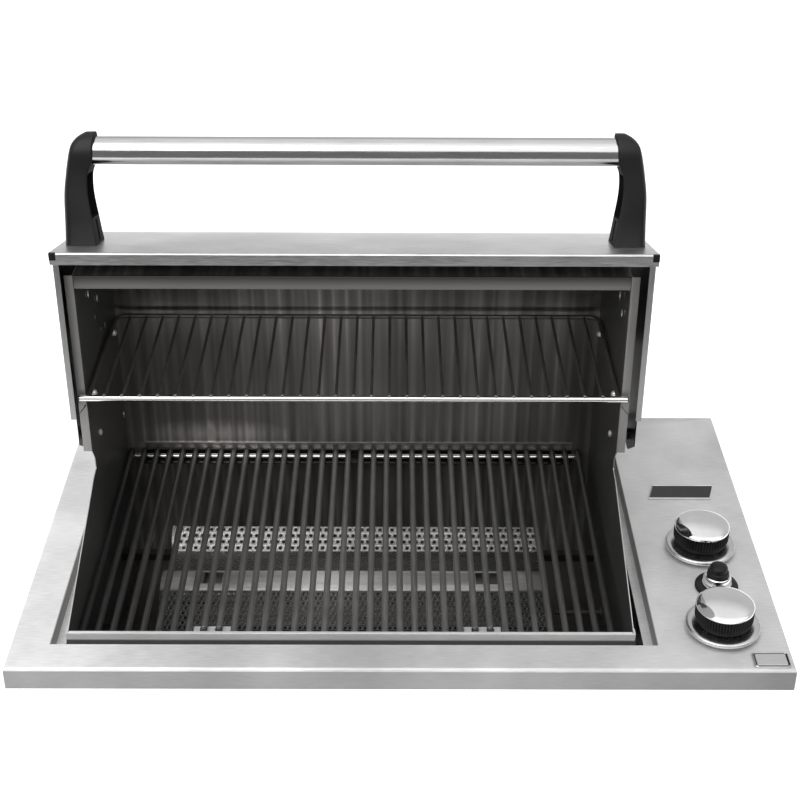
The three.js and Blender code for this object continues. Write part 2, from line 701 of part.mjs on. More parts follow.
// Hole cutters in staggered rows across one flat strip of the cover.
function holeRows(from, to, count) {
  const run = new THREE.Vector2(to[0] - from[0], to[1] - from[1]);
  const lean = Math.atan2(run.y, run.x);
  const { pitch, radius, margin: edge } = coverHole;
  const across = Math.floor((2 * (cover.half - edge)) / pitch);
  const pegHeight = 4 * cover.sheet;
  const peg = prism(disc(radius, 4), pegHeight).translate(0, 0, -pegHeight / 2);
  return range(count).flatMap((row) => {
    const share = (row + 0.5) / count;
    const y = from[0] + run.x * share;
    const z = from[1] + run.y * share - cover.sheet / 2;
    const stagger = (row % 2) * 0.5;
    return range(across).map((i) => {
      const x = cover.centreX + (i + 0.25 + stagger - across / 2) * pitch;
      const matrix = new THREE.Matrix4().makeTranslation(x, y, z);
      return matrix.multiply(new THREE.Matrix4().makeRotationX(lean));
    });
  }).map((matrix) => [peg, matrix]);
}

function makeFlameCover() {
  const { toe, crestFront, crestBack, valley, back } = cover;
  const x0 = cover.centreX - cover.half;
  const x1 = cover.centreX + cover.half;
  const sheetBody = alongX(ribbon(coverLine(), cover.sheet), x0, x1);
  const pegs = [...holeRows(toe, crestFront, 2), ...holeRows(valley, back, 2)];
  const holes = scattered(pegs[0][0], pegs.map(([, matrix]) => matrix));
  const middle = (crestFront[0] + crestBack[0]) / 2;
  const { width, depth, inset } = coverWindow;
  const windows = [x0 + inset, x1 - inset - width].map((x) =>
    block(
      x, x + width,
      middle - depth / 2, middle + depth / 2,
      crestFront[1] - overrun, crestFront[1] + 2 * overrun,
    ),
  );
  return cutAll(sheetBody, [holes, ...windows]);
}

const coverFolds = beside(coverLine(), cover.sheet);
place("cover_rail_front", makeCoverRail(coverFolds[0], 0), heated);
place("cover_rail_rear", makeCoverRail(coverFolds[coverFolds.length - 2], 0.5), heated);
place("flame_cover", makeFlameCover(), heated);

// Burners

function burnerPath(y0, y1, from, to) {
  const bend = range(9).map((i) => {
    const share = i / 8;
    const ease = share * share * (3 - 2 * share);
    const x = burner.bendLeft + share * (burner.bendRight - burner.bendLeft);
    return [x, y0 + ease * (y1 - y0), burner.z];
  });
  return [[from, y0, burner.z], ...bend, [to, y1, burner.z]];
}

function makeBurner(which) {
  const y0 = burner.y[which];
  const y1 = control.y[which];
  const { radius, sheet: t, left, rightEnd } = burner;
  const outside = tube(burnerPath(y0, y1, left, rightEnd), radius, 8);
  const inside = tube(burnerPath(y0, y1, left + t, rightEnd + overrun), radius - t, 8);
  const flare = turnedX(
    [[radius - t, rightEnd - bell.length], [radius, rightEnd - bell.length], [bell.radius, rightEnd],
      [bell.radius - t, rightEnd], [bell.radius - t, rightEnd - t]],
    16, y1, burner.z,
  );
  const ports = range(port.count).map((i) =>
    rodZ(port.radius, 4, burner.z, burner.z + radius + overrun, left + (i + 1) * port.pitch, y0),
  );
  return cutAll(outside, [inside, ...ports]).add(flare);
}

function makeSaddle() {
  const base = wall.floor + sheet;
  const plateBody = block(saddle.x, saddle.x + saddle.sheet, saddle.front, saddle.back, base, burner.z);
  const foot = block(saddle.x - saddle.foot, saddle.x + saddle.sheet, saddle.front, saddle.back, base, base + saddle.sheet);
  const cradles = Object.values(burner.y).map((y) =>
    rodX(burner.radius + saddle.clear, 20, saddle.x - overrun, saddle.x + overrun, y, burner.z),
  );
  return cutAll(plateBody.add(foot), cradles);
}

function makeElectrode() {
  const { radius, wire, tip, wireReach, y, z } = electrode;
  const { radius: collar, thick } = electrodeCollar;
  const seat = centreX + innerHalf - seatGap;
  const bodies = [
    rodX(radius, 10, tip, wallRight + electrode.tail, y, z),
    rodX(wire, 6, tip - wireReach, tip + overrun, y, z),
    rodX(collar, 12, seat - thick, seat, y, z),
  ];
  return addAll(bodies);
}

place("burner_front", makeBurner("front"), galvanised);
place("burner_rear", makeBurner("rear"), galvanised);
place("burner_saddle", makeSaddle(), galvanised);
place("spark_electrode", makeElectrode(), ceramic);

// Drip pan

function makeDripPan() {
  const t = pan.sheet;
  const base = wall.floor + sheet;
  const x0 = centreX + pan.shift - pan.half;
  const x1 = centreX + pan.shift + pan.half;
  const tray = block(x0, x1, pan.front, pan.back, base, base + pan.height);
  const hollow = block(x0 + t, x1 - t, pan.front + t, pan.back - t, base + t, base + pan.height + overrun);
  const r = pan.rim;
  const rim = block(x0 - r, x1 + r, pan.front - r, pan.back + r, base + pan.height - t, base + pan.height);
  return tray.add(rim).subtract(hollow);
}

place("drip_pan", makeDripPan(), galvanised);

// Cooking grids

function gridMiddle(side) {
  return centreX + grid.shift + (mirror[side] * grid.rods * grid.pitch) / 2;
}

function makeGrid(side) {
  const middle = gridMiddle(side);
  const half = ((grid.rods - 1) * grid.pitch) / 2;
  const rods = range(grid.rods).map((i) => {
    const isShort = Math.abs(i - (grid.rods - 1) / 2) < 1;
    const front = isShort ? grid.shortFront : grid.front;
    const x = middle - half + i * grid.pitch;
    return alongY(moved(disc(grid.rodRadius, 8, Math.PI / 8), x, grid.z), front, grid.back);
  });
  const bars = [grid.front + gridBar.inset, grid.back - gridBar.inset].map((y) =>
    rodX(gridBar.radius, 8, middle - half - gridBar.radius, middle + half + gridBar.radius, y, grid.z - gridBar.below),
  );
  return addAll([...rods, ...bars]);
}

function makeLiftTab(side) {
  const middle = gridMiddle(side);
  const top = grid.z - grid.rodRadius - seatGap;
  const front = grid.front + gridBar.inset + gridBar.radius + seatGap;
  return block(middle - tab.width / 2, middle + tab.width / 2, front, grid.shortFront + tab.lap, top - tab.thick, top);
}

for (const side of Object.keys(mirror)) {
  place(`cooking_grid_${side}`, makeGrid(side), rodSteel);
  place(`lift_tab_${side}`, makeLiftTab(side), brushed);
}

// Warming rack and its pins

function makeRack() {
  const { z, front, back, barHalf, barRadius, wire, rod, sideHalf, corner, backHalf } = rack;
  const turn = (side) => arc(centreX + mirror[side] * (backHalf - corner), back - corner, corner, 0, Math.PI / 2, 4)
    .map(([x, y]) => [side === "left" ? 2 * (centreX - (backHalf - corner)) - x : x, y, z]);
  const line = [
    [centreX - sideHalf, front, z],
    ...turn("left"),
    ...turn("right").reverse(),
    [centreX + sideHalf, front, z],
  ];
  const frame = tube(line, wire, 8);
  const bar = rodX(barRadius, 12, centreX - barHalf, centreX + barHalf, front, z);
  const half = ((rack.rods - 1) * rack.pitch) / 2;
  const rods = range(rack.rods).map((i) =>
    rodY(rod, 6, front, back, centreX - half + i * rack.pitch, z),
  );
  return addAll([frame, bar, ...rods]);
}

function makeRackPin(side, y) {
  const { radius, reach, dome, shank, nut, nutThick, z } = pin;
  const sign = mirror[side];
  const inside = innerHalf - seatGap;
  const outside = wall.half + seatGap;
  const line = [
    [0, inside - reach], [radius - dome, inside - reach], [radius, inside - reach + dome], [radius, inside],
    [shank, inside], [shank, outside], [nut, outside], [nut, outside + nutThick], [0, outside + nutThick],
  ].map(([r, h]) => [r, centreX + sign * h]);
  return turnedX(line, 14, y, z);
}

place("warming_rack", makeRack(), chrome);
for (const side of Object.keys(mirror)) {
  place(`rack_pin_front_${side}`, makeRackPin(side, pin.frontY), chrome);
  place(`rack_pin_rear_${side}`, makeRackPin(side, pin.backY), chrome);
}

// Pivots

function makePivotBolt(side) {
  const { head, dome, shank, nut, nutThick } = bolt;
  const sign = mirror[side];
  const inside = innerHalf - seatGap;
  const outside = hoodReach(side) + 3 * seatGap;
  const line = [
    [0, inside - dome], [head / 2, inside - dome + seatGap], [head, inside - dome / 3], [head, inside],
    [shank, inside], [shank, outside], [nut, outside], [nut, outside + nutThick], [0, outside + nutThick],
  ].map(([r, h]) => [r, centreX + sign * h]);
  return turnedX(line, 16, pivot.y, pivot.z);
}

function makePivotBush(side) {
  const { shank, clear, bush, shoulder } = bolt;
  const outer = hoodReach(side);
  const sign = mirror[side];
  const line = [
    [shank + clear, wall.half + seatGap], [bush, wall.half + seatGap],
    [bush, outer - sheet - seatGap], [shoulder, outer - sheet - seatGap],
    [shoulder, outer + seatGap], [shank + clear, outer + seatGap],
  ].map(([r, h]) => [r, centreX + sign * h]);
  return turnedX(line, 16, pivot.y, pivot.z);
}

for (const side of Object.keys(mirror)) {
  place(`pivot_bolt_${side}`, makePivotBolt(side), chrome);
  place(`pivot_bush_${side}`, makePivotBush(side), brass);
}

// Hood, drawn open

const hoodCorner = [hood.face, pivot.z + hood.reach];
const hoodLean = Math.atan2(pivot.y - hood.face, hood.reach); // the lip's corner, forward of upright
const hoodTilt = Math.acos(hood.drum / Math.hypot(pivot.y - hood.face, hood.reach)) - hoodLean;
const panelRun = [Math.cos(hoodTilt), -Math.sin(hoodTilt)]; // along the flat panel, in y and z
const panelNormal = [Math.sin(hoodTilt), Math.cos(hoodTilt)];

// From the lip round the flat panel and the drum, as the outer face in y and z.
function hoodLine() {
  return [
    [hood.face, hoodCorner[1] - hood.lip],
    hoodCorner,
    ...arc(pivot.y, pivot.z, hood.drum, Math.PI / 2 - hoodTilt, 0, hood.arcSteps),
  ];
}

function makeHoodSkin() {
  const half = hood.half + hoodEdge.out;
  const line = hoodLine();
  const end = line[line.length - 1];
  const longer = [[line[0][0], line[0][1] - overrun], ...line.slice(1), [end[0], end[1] - overrun]];
  const hollow = [...beside(longer, hood.sheet), ...beside(longer, hoodEdge.deep + overrun).reverse()];
  const inner = half - hood.sheet;
  const whole = alongX(ribbon(line, hoodEdge.deep), hoodX - half, hoodX + half);
  return whole.subtract(alongX(hollow, hoodX - inner, hoodX + inner));
}

function makeHoodSide(side) {
  const { front, foot, radius, drop, stripEnd } = ear;
  const inside = beside(hoodLine(), hood.sheet + seatGap).slice(1);
  const end = inside[inside.length - 1];
  const lipEnd = hoodCorner[1] - hood.lip - seatGap;
  const earStart = Math.atan2(foot, -front) + Math.acos(radius / Math.hypot(front, foot));
  const earEnd = 1.5 * Math.PI + Math.asin((radius - drop) / hood.drum);
  const outline = [
    [hood.face, pivot.z + stripEnd],
    [pivot.y - front, pivot.z + stripEnd],
    [pivot.y - front, pivot.z + foot],
    ...arc(pivot.y, pivot.z, radius, earStart, earEnd, 4),
    [end[0], end[1] - drop],
    ...[...inside].reverse(),
    [hood.face + hood.sheet + seatGap, lipEnd],
    [hood.face, lipEnd],
  ];
  const leaf = alongX(outline, ...spanX(side, hood.half - hood.sheet, hood.half, hoodX));
  const strip = block(
    ...spanX(side, hood.half - hood.strip, hood.half, hoodX),
    hood.face, hood.face + hood.sheet, pivot.z + stripEnd, lipEnd,
  );
  const hole = rodX(bolt.shoulder + seatGap, 20, ...spanX(side, wall.half, hood.half + overrun, hoodX), pivot.y, pivot.z);
  return leaf.add(strip).subtract(hole);
}

// A place over the flat panel: x, distance along it from the lip's corner, height above it.
function onPanel(x, along, above) {
  const y = hoodCorner[0] + along * panelRun[0] + above * panelNormal[0];
  const z = hoodCorner[1] + along * panelRun[1] + above * panelNormal[1];
  return [x, y, z];
}

function makePost(side) {
  const middle = post.footStart + post.depth / 2;
  const sign = mirror[side];
  const rings = post.rowShares.map(([up, innerShare, outerShare, depthShare]) => {
    const inner = post.inner + innerShare * post.width;
    const outer = post.inner + outerShare * post.width;
    const half = (depthShare * post.depth) / 2;
    const cut = Math.min(post.bevel, (outer - inner) / 3, half / 2);
    const plan = [
      [inner, -half], [outer - cut, -half], [outer - cut / 3, -half + cut / 3], [outer, -half + cut],
      [outer, half - cut], [outer - cut / 3, half - cut / 3], [outer - cut, half], [inner, half],
    ];
    const above = seatGap + up * post.height;
    return plan.map(([h, along]) => onPanel(hoodX + sign * h, middle + along, above));
  });
  const { wall: rimWall, depth, bottom, top } = pocket;
  const pocketRow = (above, shrink) => {
    const half = post.depth / 2 - rimWall - shrink;
    const x0 = post.inner - overrun;
    const x1 = post.inner + depth;
    return [[x0, -half], [x1, -half], [x1, half], [x0, half]].map(([h, along]) =>
      onPanel(hoodX + sign * h, middle + along, above),
    );
  };
  const hollow = loft([pocketRow(bottom, 0), pocketRow(top, rimWall / 2)]);
  return cutAll(loft(rings), [hollow, barCutter(bar.radius + seatGap, seatGap)]);
}

// The handle bar, or a larger one to cut its seats with.
function barCutter(radius, longer) {
  const half = post.inner + bar.seat + longer;
  const [, y, z] = onPanel(hoodX, post.footStart + post.depth / 2, post.standoff);
  return rodX(radius, bar.sides, hoodX - half, hoodX + half, y, z);
}

place("hood_skin", makeHoodSkin(), brushed);
for (const side of Object.keys(mirror)) {
  place(`hood_side_${side}`, makeHoodSide(side), brushed);
  place(`handle_post_${side}`, makePost(side), castBlack);
}
place("handle_bar", barCutter(bar.radius, 0), chrome);

// Gas valves, knobs

function makeValve(y) {
  const { half, top, bottom, spout, spoutEnd, neck, bore } = valve;
  const x = control.x;
  const chamfer = half / 4;
  const plan = [
    [-half, -half + chamfer], [-half + chamfer, -half], [half, -half], [half, half],
    [-half + chamfer, half], [-half, half - chamfer],
  ];
  const neckTop = -deck.sheet - seatGap;
  const bodies = [
    alongZ(moved(plan, x, y), bottom, top),
    rodZ(neck, 14, top - overrun, neckTop, x, y),
    rodX(spout, 10, spoutEnd, x, y, burner.z),
  ];
  const hole = rodZ(stem.radius + stem.clear, 14, neckTop - bore, neckTop + overrun, x, y);
  return addAll(bodies).subtract(hole);
}

function makeStem(y) {
  const x = control.x;
  const round = rodZ(stem.radius, 14, stem.bottom, stem.top, x, y);
  const flat = block(x - stem.radius, x + stem.radius, y + stem.flat, y + 2 * stem.radius, bezel.top, stem.top + overrun);
  return round.subtract(flat);
}

function makeBezel(y) {
  const { radius, shoulder, dish, floor, base, top, bore, foot } = bezel;
  const line = [
    [bore, 0], [foot, 0], [foot, base], [radius, base], [radius, floor], [shoulder, top],
    [dish + bezel.rise, top], [dish, floor], [bore, floor],
  ];
  return turned(line, 30, control.x, y);
}

function makeGrip(y) {
  const steps = 4 * knob.lobes;
  const outline = range(steps).map((i) => {
    const angle = (2 * Math.PI * i) / steps;
    const r = knob.radius + knob.lobe * [1, 0.2, -1, 0.2][i % 4];
    return [control.x + r * Math.cos(angle), y + r * Math.sin(angle)];
  });
  const grip = alongZ(outline, knob.base, knob.top);
  const socketTop = stem.top + knob.travel + seatGap;
  const socket = rodZ(stem.radius + stem.clear, 14, knob.base - overrun, socketTop, control.x, y);
  return grip.subtract(socket);
}

function makeCap(y) {
  const { radius, rim, crown } = cap;
  const low = knob.top + seatGap;
  const dome = range(6).map((i) => {
    const share = i / 5;
    return [radius * Math.cos((share * Math.PI) / 2), rim + (crown - rim) * Math.sin((share * Math.PI) / 2)];
  });
  const body = turned([[0, low], [radius, low], ...dome.slice(0, -1), [0, crown]], 30, control.x, y);
  const size = 2 * radius;
  const blade = new THREE.BoxGeometry(size, 2 * size, size).translate(-size / 2, 0, size / 2);
  blade.rotateY(-facet.turn).translate(-facet.inner, 0, crown).rotateZ(facet.aim).translate(control.x, y, 0);
  return body.subtract(solid(blade));
}

for (const [which, y] of Object.entries(control.y)) {
  place(`gas_valve_${which}`, makeValve(y), brass);
  place(`valve_stem_${which}`, makeStem(y), brass);
  place(`knob_bezel_${which}`, makeBezel(y), chrome);
  place(`knob_grip_${which}`, makeGrip(y), castBlack);
  place(`knob_cap_${which}`, makeCap(y), chrome);
}

// Gas pipe

function makeManifold() {
  const { radius, bore, x, front, back, z, boss, cap: endWall } = manifold;
  const pipe = rodY(radius, 14, front, back, x, z).subtract(rodY(bore, 12, front + endWall, back + overrun, x, z));
  const face = control.x + valve.half + seatGap;
  const bosses = Object.values(control.y).map((y) =>
    rodX(boss, 12, face, x, y, z).subtract(rodY(bore, 12, front + endWall, back + overrun, x, z)),
  );
  return addAll([pipe, ...bosses]);
}

function makeInlet() {
  const { radius, bore, proud, collar, collarThick } = inlet;
  const start = manifold.back + seatGap;
  const end = casing.back + proud;
  const seat = casing.back - sheet - seatGap;
  const { x, z } = manifold;
  const body = rodY(radius, 16, start, end, x, z).add(rodY(collar, 6, seat - collarThick, seat, x, z));
  return body.subtract(rodY(bore, 12, start - overrun, end + overrun, x, z));
}

place("gas_manifold", makeManifold(), brass);
place("gas_inlet", makeInlet(), brass);

// Push igniter

function makeIgniterBase() {
  const { base, baseTop, x, y } = igniter;
  const edge = baseTop / 4;
  const line = [[stem.deckHole, 0], [base, 0], [base, baseTop - edge], [base - edge, baseTop], [stem.deckHole, baseTop]];
  return turned(line, 22, x, y);
}

function makeIgniterCollar() {
  const { collar, collarTop, baseTop, cap: capRadius, x, y } = igniter;
  const bore = capRadius + 2 * seatGap;
  const line = [
    [bore, baseTop], [collar, baseTop], [collar, (baseTop + collarTop) / 2],
    [(collar + bore) / 2, collarTop], [bore, collarTop],
  ];
  return turned(line, 22, x, y);
}

function makeIgniterButton() {
  const { cap: capRadius, capTop, baseTop, x, y } = igniter;
  const { stem: stemRadius, below, travel } = press;
  const foot = baseTop + travel + seatGap;
  const edge = capRadius / 4;
  const line = [
    [0, -below], [stemRadius, -below], [stemRadius, foot], [capRadius, foot],
    [capRadius, capTop - edge], [capRadius - edge, capTop - edge / 3], [capRadius / 2, capTop], [0, capTop],
  ];
  return turned(line, 20, x, y);
}

function makeIgniterModule() {
  const { stem: stemRadius, below, travel } = press;
  const { x, y } = igniter;
  const top = -deck.sheet - seatGap;
  const bottom = -below - 2 * travel;
  const line = [
    [0, module.bottom], [module.radius, module.bottom], [module.radius, top],
    [stemRadius + seatGap, top], [stemRadius + seatGap, bottom], [0, bottom],
  ];
  return turned(line, 16, x, y);
}

place("igniter_base", makeIgniterBase(), castBlack);
place("igniter_collar", makeIgniterCollar(), chrome);
place("igniter_button", makeIgniterButton(), rubber);
place("igniter_module", makeIgniterModule(), castBlack);

// Bare plates on the deck

function makeNameplate() {
  const { x, y, width, depth, slant, thick } = nameplate;
  const plan = [
    [-width / 2, -depth / 2], [width / 2 - slant, -depth / 2], [width / 2, depth / 2], [-width / 2 + slant, depth / 2],
  ];
  return alongZ(moved(plan, x, y), 0, thick);
}

function makeBadge() {
  const { x, y, width, depth, corner, thick } = badge;
  const corners = [[1, 1], [-1, 1], [-1, -1], [1, -1]];
  const plan = corners.flatMap(([sx, sy], i) =>
    arc(x + sx * (width / 2 - corner), y + sy * (depth / 2 - corner), corner, (i * Math.PI) / 2, ((i + 1) * Math.PI) / 2, 3),
  );
  return alongZ(plan, 0, thick);
}

place("nameplate", makeNameplate(), castBlack);
place("corner_badge", makeBadge(), chrome);

// The part's own frame: on the footprint's middle, with the lowest face at z = 0.
const rearmost = pivot.y + hood.drum;
assembly.position.set(0, -rearmost / 2, casing.depth);

const group = new THREE.Group();
group.name = "countertop_grill";
group.add(assembly);

export default group;
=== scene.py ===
"""Countertop grill with its hood open: materials, finer pieces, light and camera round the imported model."""

import json
import math

import bmesh
import bpy
from mathutils import Matrix, Vector


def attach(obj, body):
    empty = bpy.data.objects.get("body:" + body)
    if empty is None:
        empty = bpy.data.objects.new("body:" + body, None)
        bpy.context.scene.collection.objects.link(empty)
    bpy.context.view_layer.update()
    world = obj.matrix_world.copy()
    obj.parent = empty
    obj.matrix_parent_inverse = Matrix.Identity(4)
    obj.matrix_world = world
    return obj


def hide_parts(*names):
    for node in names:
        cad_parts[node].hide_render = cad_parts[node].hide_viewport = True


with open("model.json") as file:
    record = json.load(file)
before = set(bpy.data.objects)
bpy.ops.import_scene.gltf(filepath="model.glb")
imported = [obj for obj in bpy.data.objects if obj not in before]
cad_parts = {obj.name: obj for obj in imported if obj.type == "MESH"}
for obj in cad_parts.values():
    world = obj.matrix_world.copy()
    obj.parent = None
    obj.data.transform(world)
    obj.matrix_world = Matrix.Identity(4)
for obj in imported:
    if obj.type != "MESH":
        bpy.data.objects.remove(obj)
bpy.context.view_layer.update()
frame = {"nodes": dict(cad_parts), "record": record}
NODES = frame["nodes"]
SLOT_OF = {entry["node"]: entry["material_slot"] for entry in frame["record"]["subparts"]}
BODY_OF = {node: body for body, nodes in frame["record"]["behaviour"]["bodies"].items() for node in nodes}

# Places are in the deck's own frame, in mm: x from its middle, y from its front edge, z from its top face.

MM = 0.001
DECK_FRONT = -286.05  # the deck's front edge and top face in the part's frame
DECK_TOP = 240.0


def at(x, y, z):
    """A place in the deck's frame, in mm, as metres in the part's frame."""
    return Vector((x, y + DECK_FRONT, z + DECK_TOP)) * MM


# Sizes of sheets that materials and pieces share, in mm, as in part.mjs

WALL_HALF, SHEET, CENTRE_X = 316.4, 1.2, -55.0
HOOD_X = CENTRE_X + 3.3
FACE_Y, BACK_Y = 274.0, 492.0
OVEN_TOP, OVEN_CROWN, OVEN_LIP = 339.5, 150.0, 16.0
COVER_X, COVER_HALF, COVER_SHEET = -58.0, 242.0, 1.2
COVER_BACK, COVER_VALLEY = (407, -97), (379, -117)
CREST_BACK, CREST_FRONT, COVER_TOE = (292, -84), (248, -84), (206, -112)

# Factors of tone along X, as (x in mm, factor)

# Painted light on the deck: brighter at the left, darker at the right
DECK_TONES = ((-432, 1.16), (-330, 1.2), (-180, 1.1), (-40, 0.96), (200, 0.94), (320, 0.85), (432, 0.82))
# Painted shade on the deck's folded edge, deeper at the right
FOLD_TONES = ((-432, 0.38), (200, 0.38), (330, 0.3), (432, 0.25))
# Painted highlight on the rear rail's leaf, brightest left of the middle
LEAF_TONES = ((-370, 0.5), (-300, 1.2), (-245, 1.7), (-180, 1.3), (-110, 1), (260, 0.7))
ROD_TONES = ((-370, 0.16), (-300, 0.3), (-200, 0.6), (-90, 0.75), (90, 0.7), (180, 0.45), (260, 0.2))
# Painted highlight along the cover's crest, brightest left of the middle
CREST_TONES = ((-300, 0.55), (-203.2, 0.62), (-96.72, 1.15), (0.08, 0.95), (184, 0.5))
# Painted light along the cover's rear strip, brightest at the left
REAR_STRIP_TONES = ((-300, 1), (-130.6, 0.7), (184, 0.4))

# Where a tone changes, from one place in mm to the other, and other tones

FOLD_Z, RIM_Z, LEAF_Z, EAR_Z = (-3.8, -2.6), (-5.2, -3.2), (-27.5, -25.5), (162.5, 163.5)
ROD_REAR_Y, COVER_REAR_Y = (468, 480), (340, 350)
LIP_Y, LIP_Z = (FACE_Y + 2, FACE_Y + 3), (OVEN_TOP - 12, OVEN_TOP - 2)
# Painted light on level faces below the deck's top bend
LEDGE_TONE = 1.1
RIM_TONE, EAR_TONE, LEAF_LOW_TONE, ROD_REAR_TONE = 0.16, 0.04, 0.1, 0.3
WALL_TONE, OUTER_TONE, FLANGE_TONE = 0.2, 1.3, 0.4
WALL_EDGE = 0.2  # half the width of the step in tone, in the middle of the wall's sheet
STRIP_TONE, INNER_TONE = 0.72, 0.08
# The flame cover's tones: painted light, which COVER_LIGHT lifts as a whole
SLOPE_TONE, CREST_TONE, CREST_REAR_TONE, STRIP_LIGHT, COVER_LIGHT = 0.14, 1.0, 0.9, 1.3, 3.0
LIP_BAND, LIP_TOP_TONE = 0.42, 0.35
BANDS = (0.34, 0.66)  # the stretch of a noise that the bands on the oven's back use
LINES = {"x": -52, "pitch": 17.31, "sharp": 10, "gain": 0.7}  # under the grids' rods
GLOW = {"x": -250, "z": -2, "half": 105, "tall": 25, "gain": 1.9}  # painted highlight low on the back wall: a patch of reflected light

# Materials


class Tree:
    """A node tree with short ways to add to it."""

    def __init__(self, owner):
        owner.use_nodes = True
        self.tree = owner.node_tree
        self.tree.nodes.clear()

    def put(self, socket, value):
        if isinstance(value, bpy.types.NodeSocket):
            self.tree.links.new(value, socket)
        else:
            socket.default_value = value

    def fill(self, node, values):
        """Sets or links a node's inputs, named with _ for a space."""
        for key, value in values.items():
            self.put(node.inputs[key.replace("_", " ")], value)
        return node

    def new(self, kind, **values):
        return self.fill(self.tree.nodes.new(kind), values)

    def span(self, value, low, high, start=0.3, end=0.7):
        """value's stretch from start to end becomes low to high."""
        ends = {"From Min": start, "From Max": end, "To Min": low, "To Max": high}
        return self.fill(self.new("ShaderNodeMapRange", Value=value), ends).outputs[0]

    def ramp(self, value, *stops):
        node = self.new("ShaderNodeValToRGB", Fac=value)
        elements = node.color_ramp.elements
        while len(elements) < len(stops):
            elements.new(0.5)
        for element, (position, colour) in zip(elements, stops):
            element.position = position
            element.color = (*colour, 1.0)
        return node.outputs[0]

    def maths(self, operation, one, two=0.0):
        node = self.new("ShaderNodeMath")
        node.operation = operation
        self.put(node.inputs[0], one)
        self.put(node.inputs[1], two)
        return node.outputs[0]

    def times(self, product, *factors):
        for factor in factors:
            product = self.maths("MULTIPLY", product, factor)
        return product

    def plus(self, total, *terms):
        for term in terms:
            total = self.maths("ADD", total, term)
        return total

    def minus(self, one, two):
        return self.maths("SUBTRACT", one, two)

    def blend(self, one, two, share):
        """one where share is 0, two where it is 1."""
        return self.plus(self.times(one, self.minus(1.0, share)), self.times(two, share))

    def axis(self, letter, source):
        return self.new("ShaderNodeSeparateXYZ", Vector=source).outputs[letter]


class Nodes(Tree):
    """A material with a main shader."""

    def __init__(self, name):
        self.material = bpy.data.materials.new(name)
        super().__init__(self.material)
        self.shader = self.new("ShaderNodeBsdfPrincipled")
        self.new("ShaderNodeOutputMaterial", Surface=self.shader.outputs[0])
        self.place = self.new("ShaderNodeTexCoord").outputs["Object"]

    def set(self, **values):
        self.fill(self.shader, values)

    def noise(self, scale, detail=3.0, rough=0.55):
        """Noise with a number of cells to the metre, one for all axes or one for each."""
        scale = scale if isinstance(scale, tuple) else (scale,) * 3
        place = self.new("ShaderNodeMapping", Vector=self.place, Scale=scale).outputs[0]
        node = self.new("ShaderNodeTexNoise", Vector=place, Scale=1.0, Detail=detail, Roughness=rough)
        return node.outputs["Fac"]

    def shaded(self, colour, factor):
        """The colour times a grey factor."""
        node = self.new("ShaderNodeVectorMath")
        node.operation = "SCALE"
        return self.fill(node, {"Vector": colour, "Scale": factor}).outputs[0]

    def along(self, letter, low, high, start, end):
        """A factor from low to high between two places on an axis of the deck's frame, in mm."""
        base = {"X": 0.0, "Y": DECK_FRONT, "Z": DECK_TOP}[letter]
        return self.span(self.axis(letter, self.place), low, high, (base + start) * MM, (base + end) * MM)

    def tones(self, letter, stops):
        """A factor along an axis through stops of (place in mm, factor)."""
        low, high = stops[0][0], stops[-1][0]
        share = self.along(letter, 0.0, 1.0, low, high)
        greys = [((place - low) / (high - low), grey(tone)) for place, tone in stops]
        return self.axis("X", self.ramp(share, *greys))

    def normal(self, letter):
        return self.axis(letter, self.new("ShaderNodeNewGeometry").outputs["Normal"])

    def facing(self, letter):
        """How far the surface faces along an axis, either way, from 0 to 1."""
        return self.maths("ABSOLUTE", self.normal(letter))

    def outward(self, middle):
        """How far the surface faces away from a middle in X, in mm: 1 outward, -1 inward."""
        side = self.maths("SIGN", self.minus(self.axis("X", self.place), middle * MM))
        return self.times(self.normal("X"), side)

    def bump(self, height, strength, distance=0.2):
        """A relief; its distance is in mm."""
        node = self.new("ShaderNodeBump", Strength=strength, Distance=distance * MM, Height=height)
        self.set(Normal=node.outputs[0])


def grey(value, warm=0.0):
    return (value * (1 + warm), value, value * (1 - warm))


GRAIN_X = (55, 800, 800)  # brushing lines that run along X, in cells to the metre
GRAIN_Z = (800, 800, 40)
GRAIN_Y = (800, 40, 800)
GRAIN_WALL = (320, 30, 12)
BANDS_WALL = (88, 0.6, 0.6)


def brushed(
    name, low, high, grain=GRAIN_X, roughness=(0.36, 0.46), warm=0.0, clouds=0.25,
    contrast=0.4, darker=None, metal=1.0,
):
    """Sheet with brushing lines, soft clouds of tone and a fine scratch relief. darker(m) gives a factor of
    tone. metal below 1 stands for a ground surface that scatters light like paint."""
    m = Nodes(name)
    lines = m.noise(grain, 3.0, 0.6)
    cloud = m.noise(9.0, 3.0, 0.5)
    tone = m.plus(m.span(lines, -contrast, contrast), m.plus(m.span(cloud, -clouds, clouds), 0.5))
    colour = m.ramp(tone, (0.0, grey(low, warm)), (1.0, grey(high, warm)))
    if darker:
        colour = m.shaded(colour, darker(m))
    m.set(Base_Color=colour, Metallic=metal, Roughness=m.span(lines, *roughness))
    m.bump(lines, 0.05)
    return m.material


def polished(name, low, high, roughness=(0.05, 0.1), warm=0.0, metal=1.0):
    """Bright plating or polished tube with a faint film on it."""
    m = Nodes(name)
    film = m.noise(22.0)
    colour = m.ramp(film, (0.3, grey(low, warm)), (0.7, grey(high, warm)))
    m.set(Base_Color=colour, Metallic=metal, Roughness=m.span(film, *roughness))
    m.bump(m.noise(60.0, 2.0), 0.01, 0.4)
    return m.material


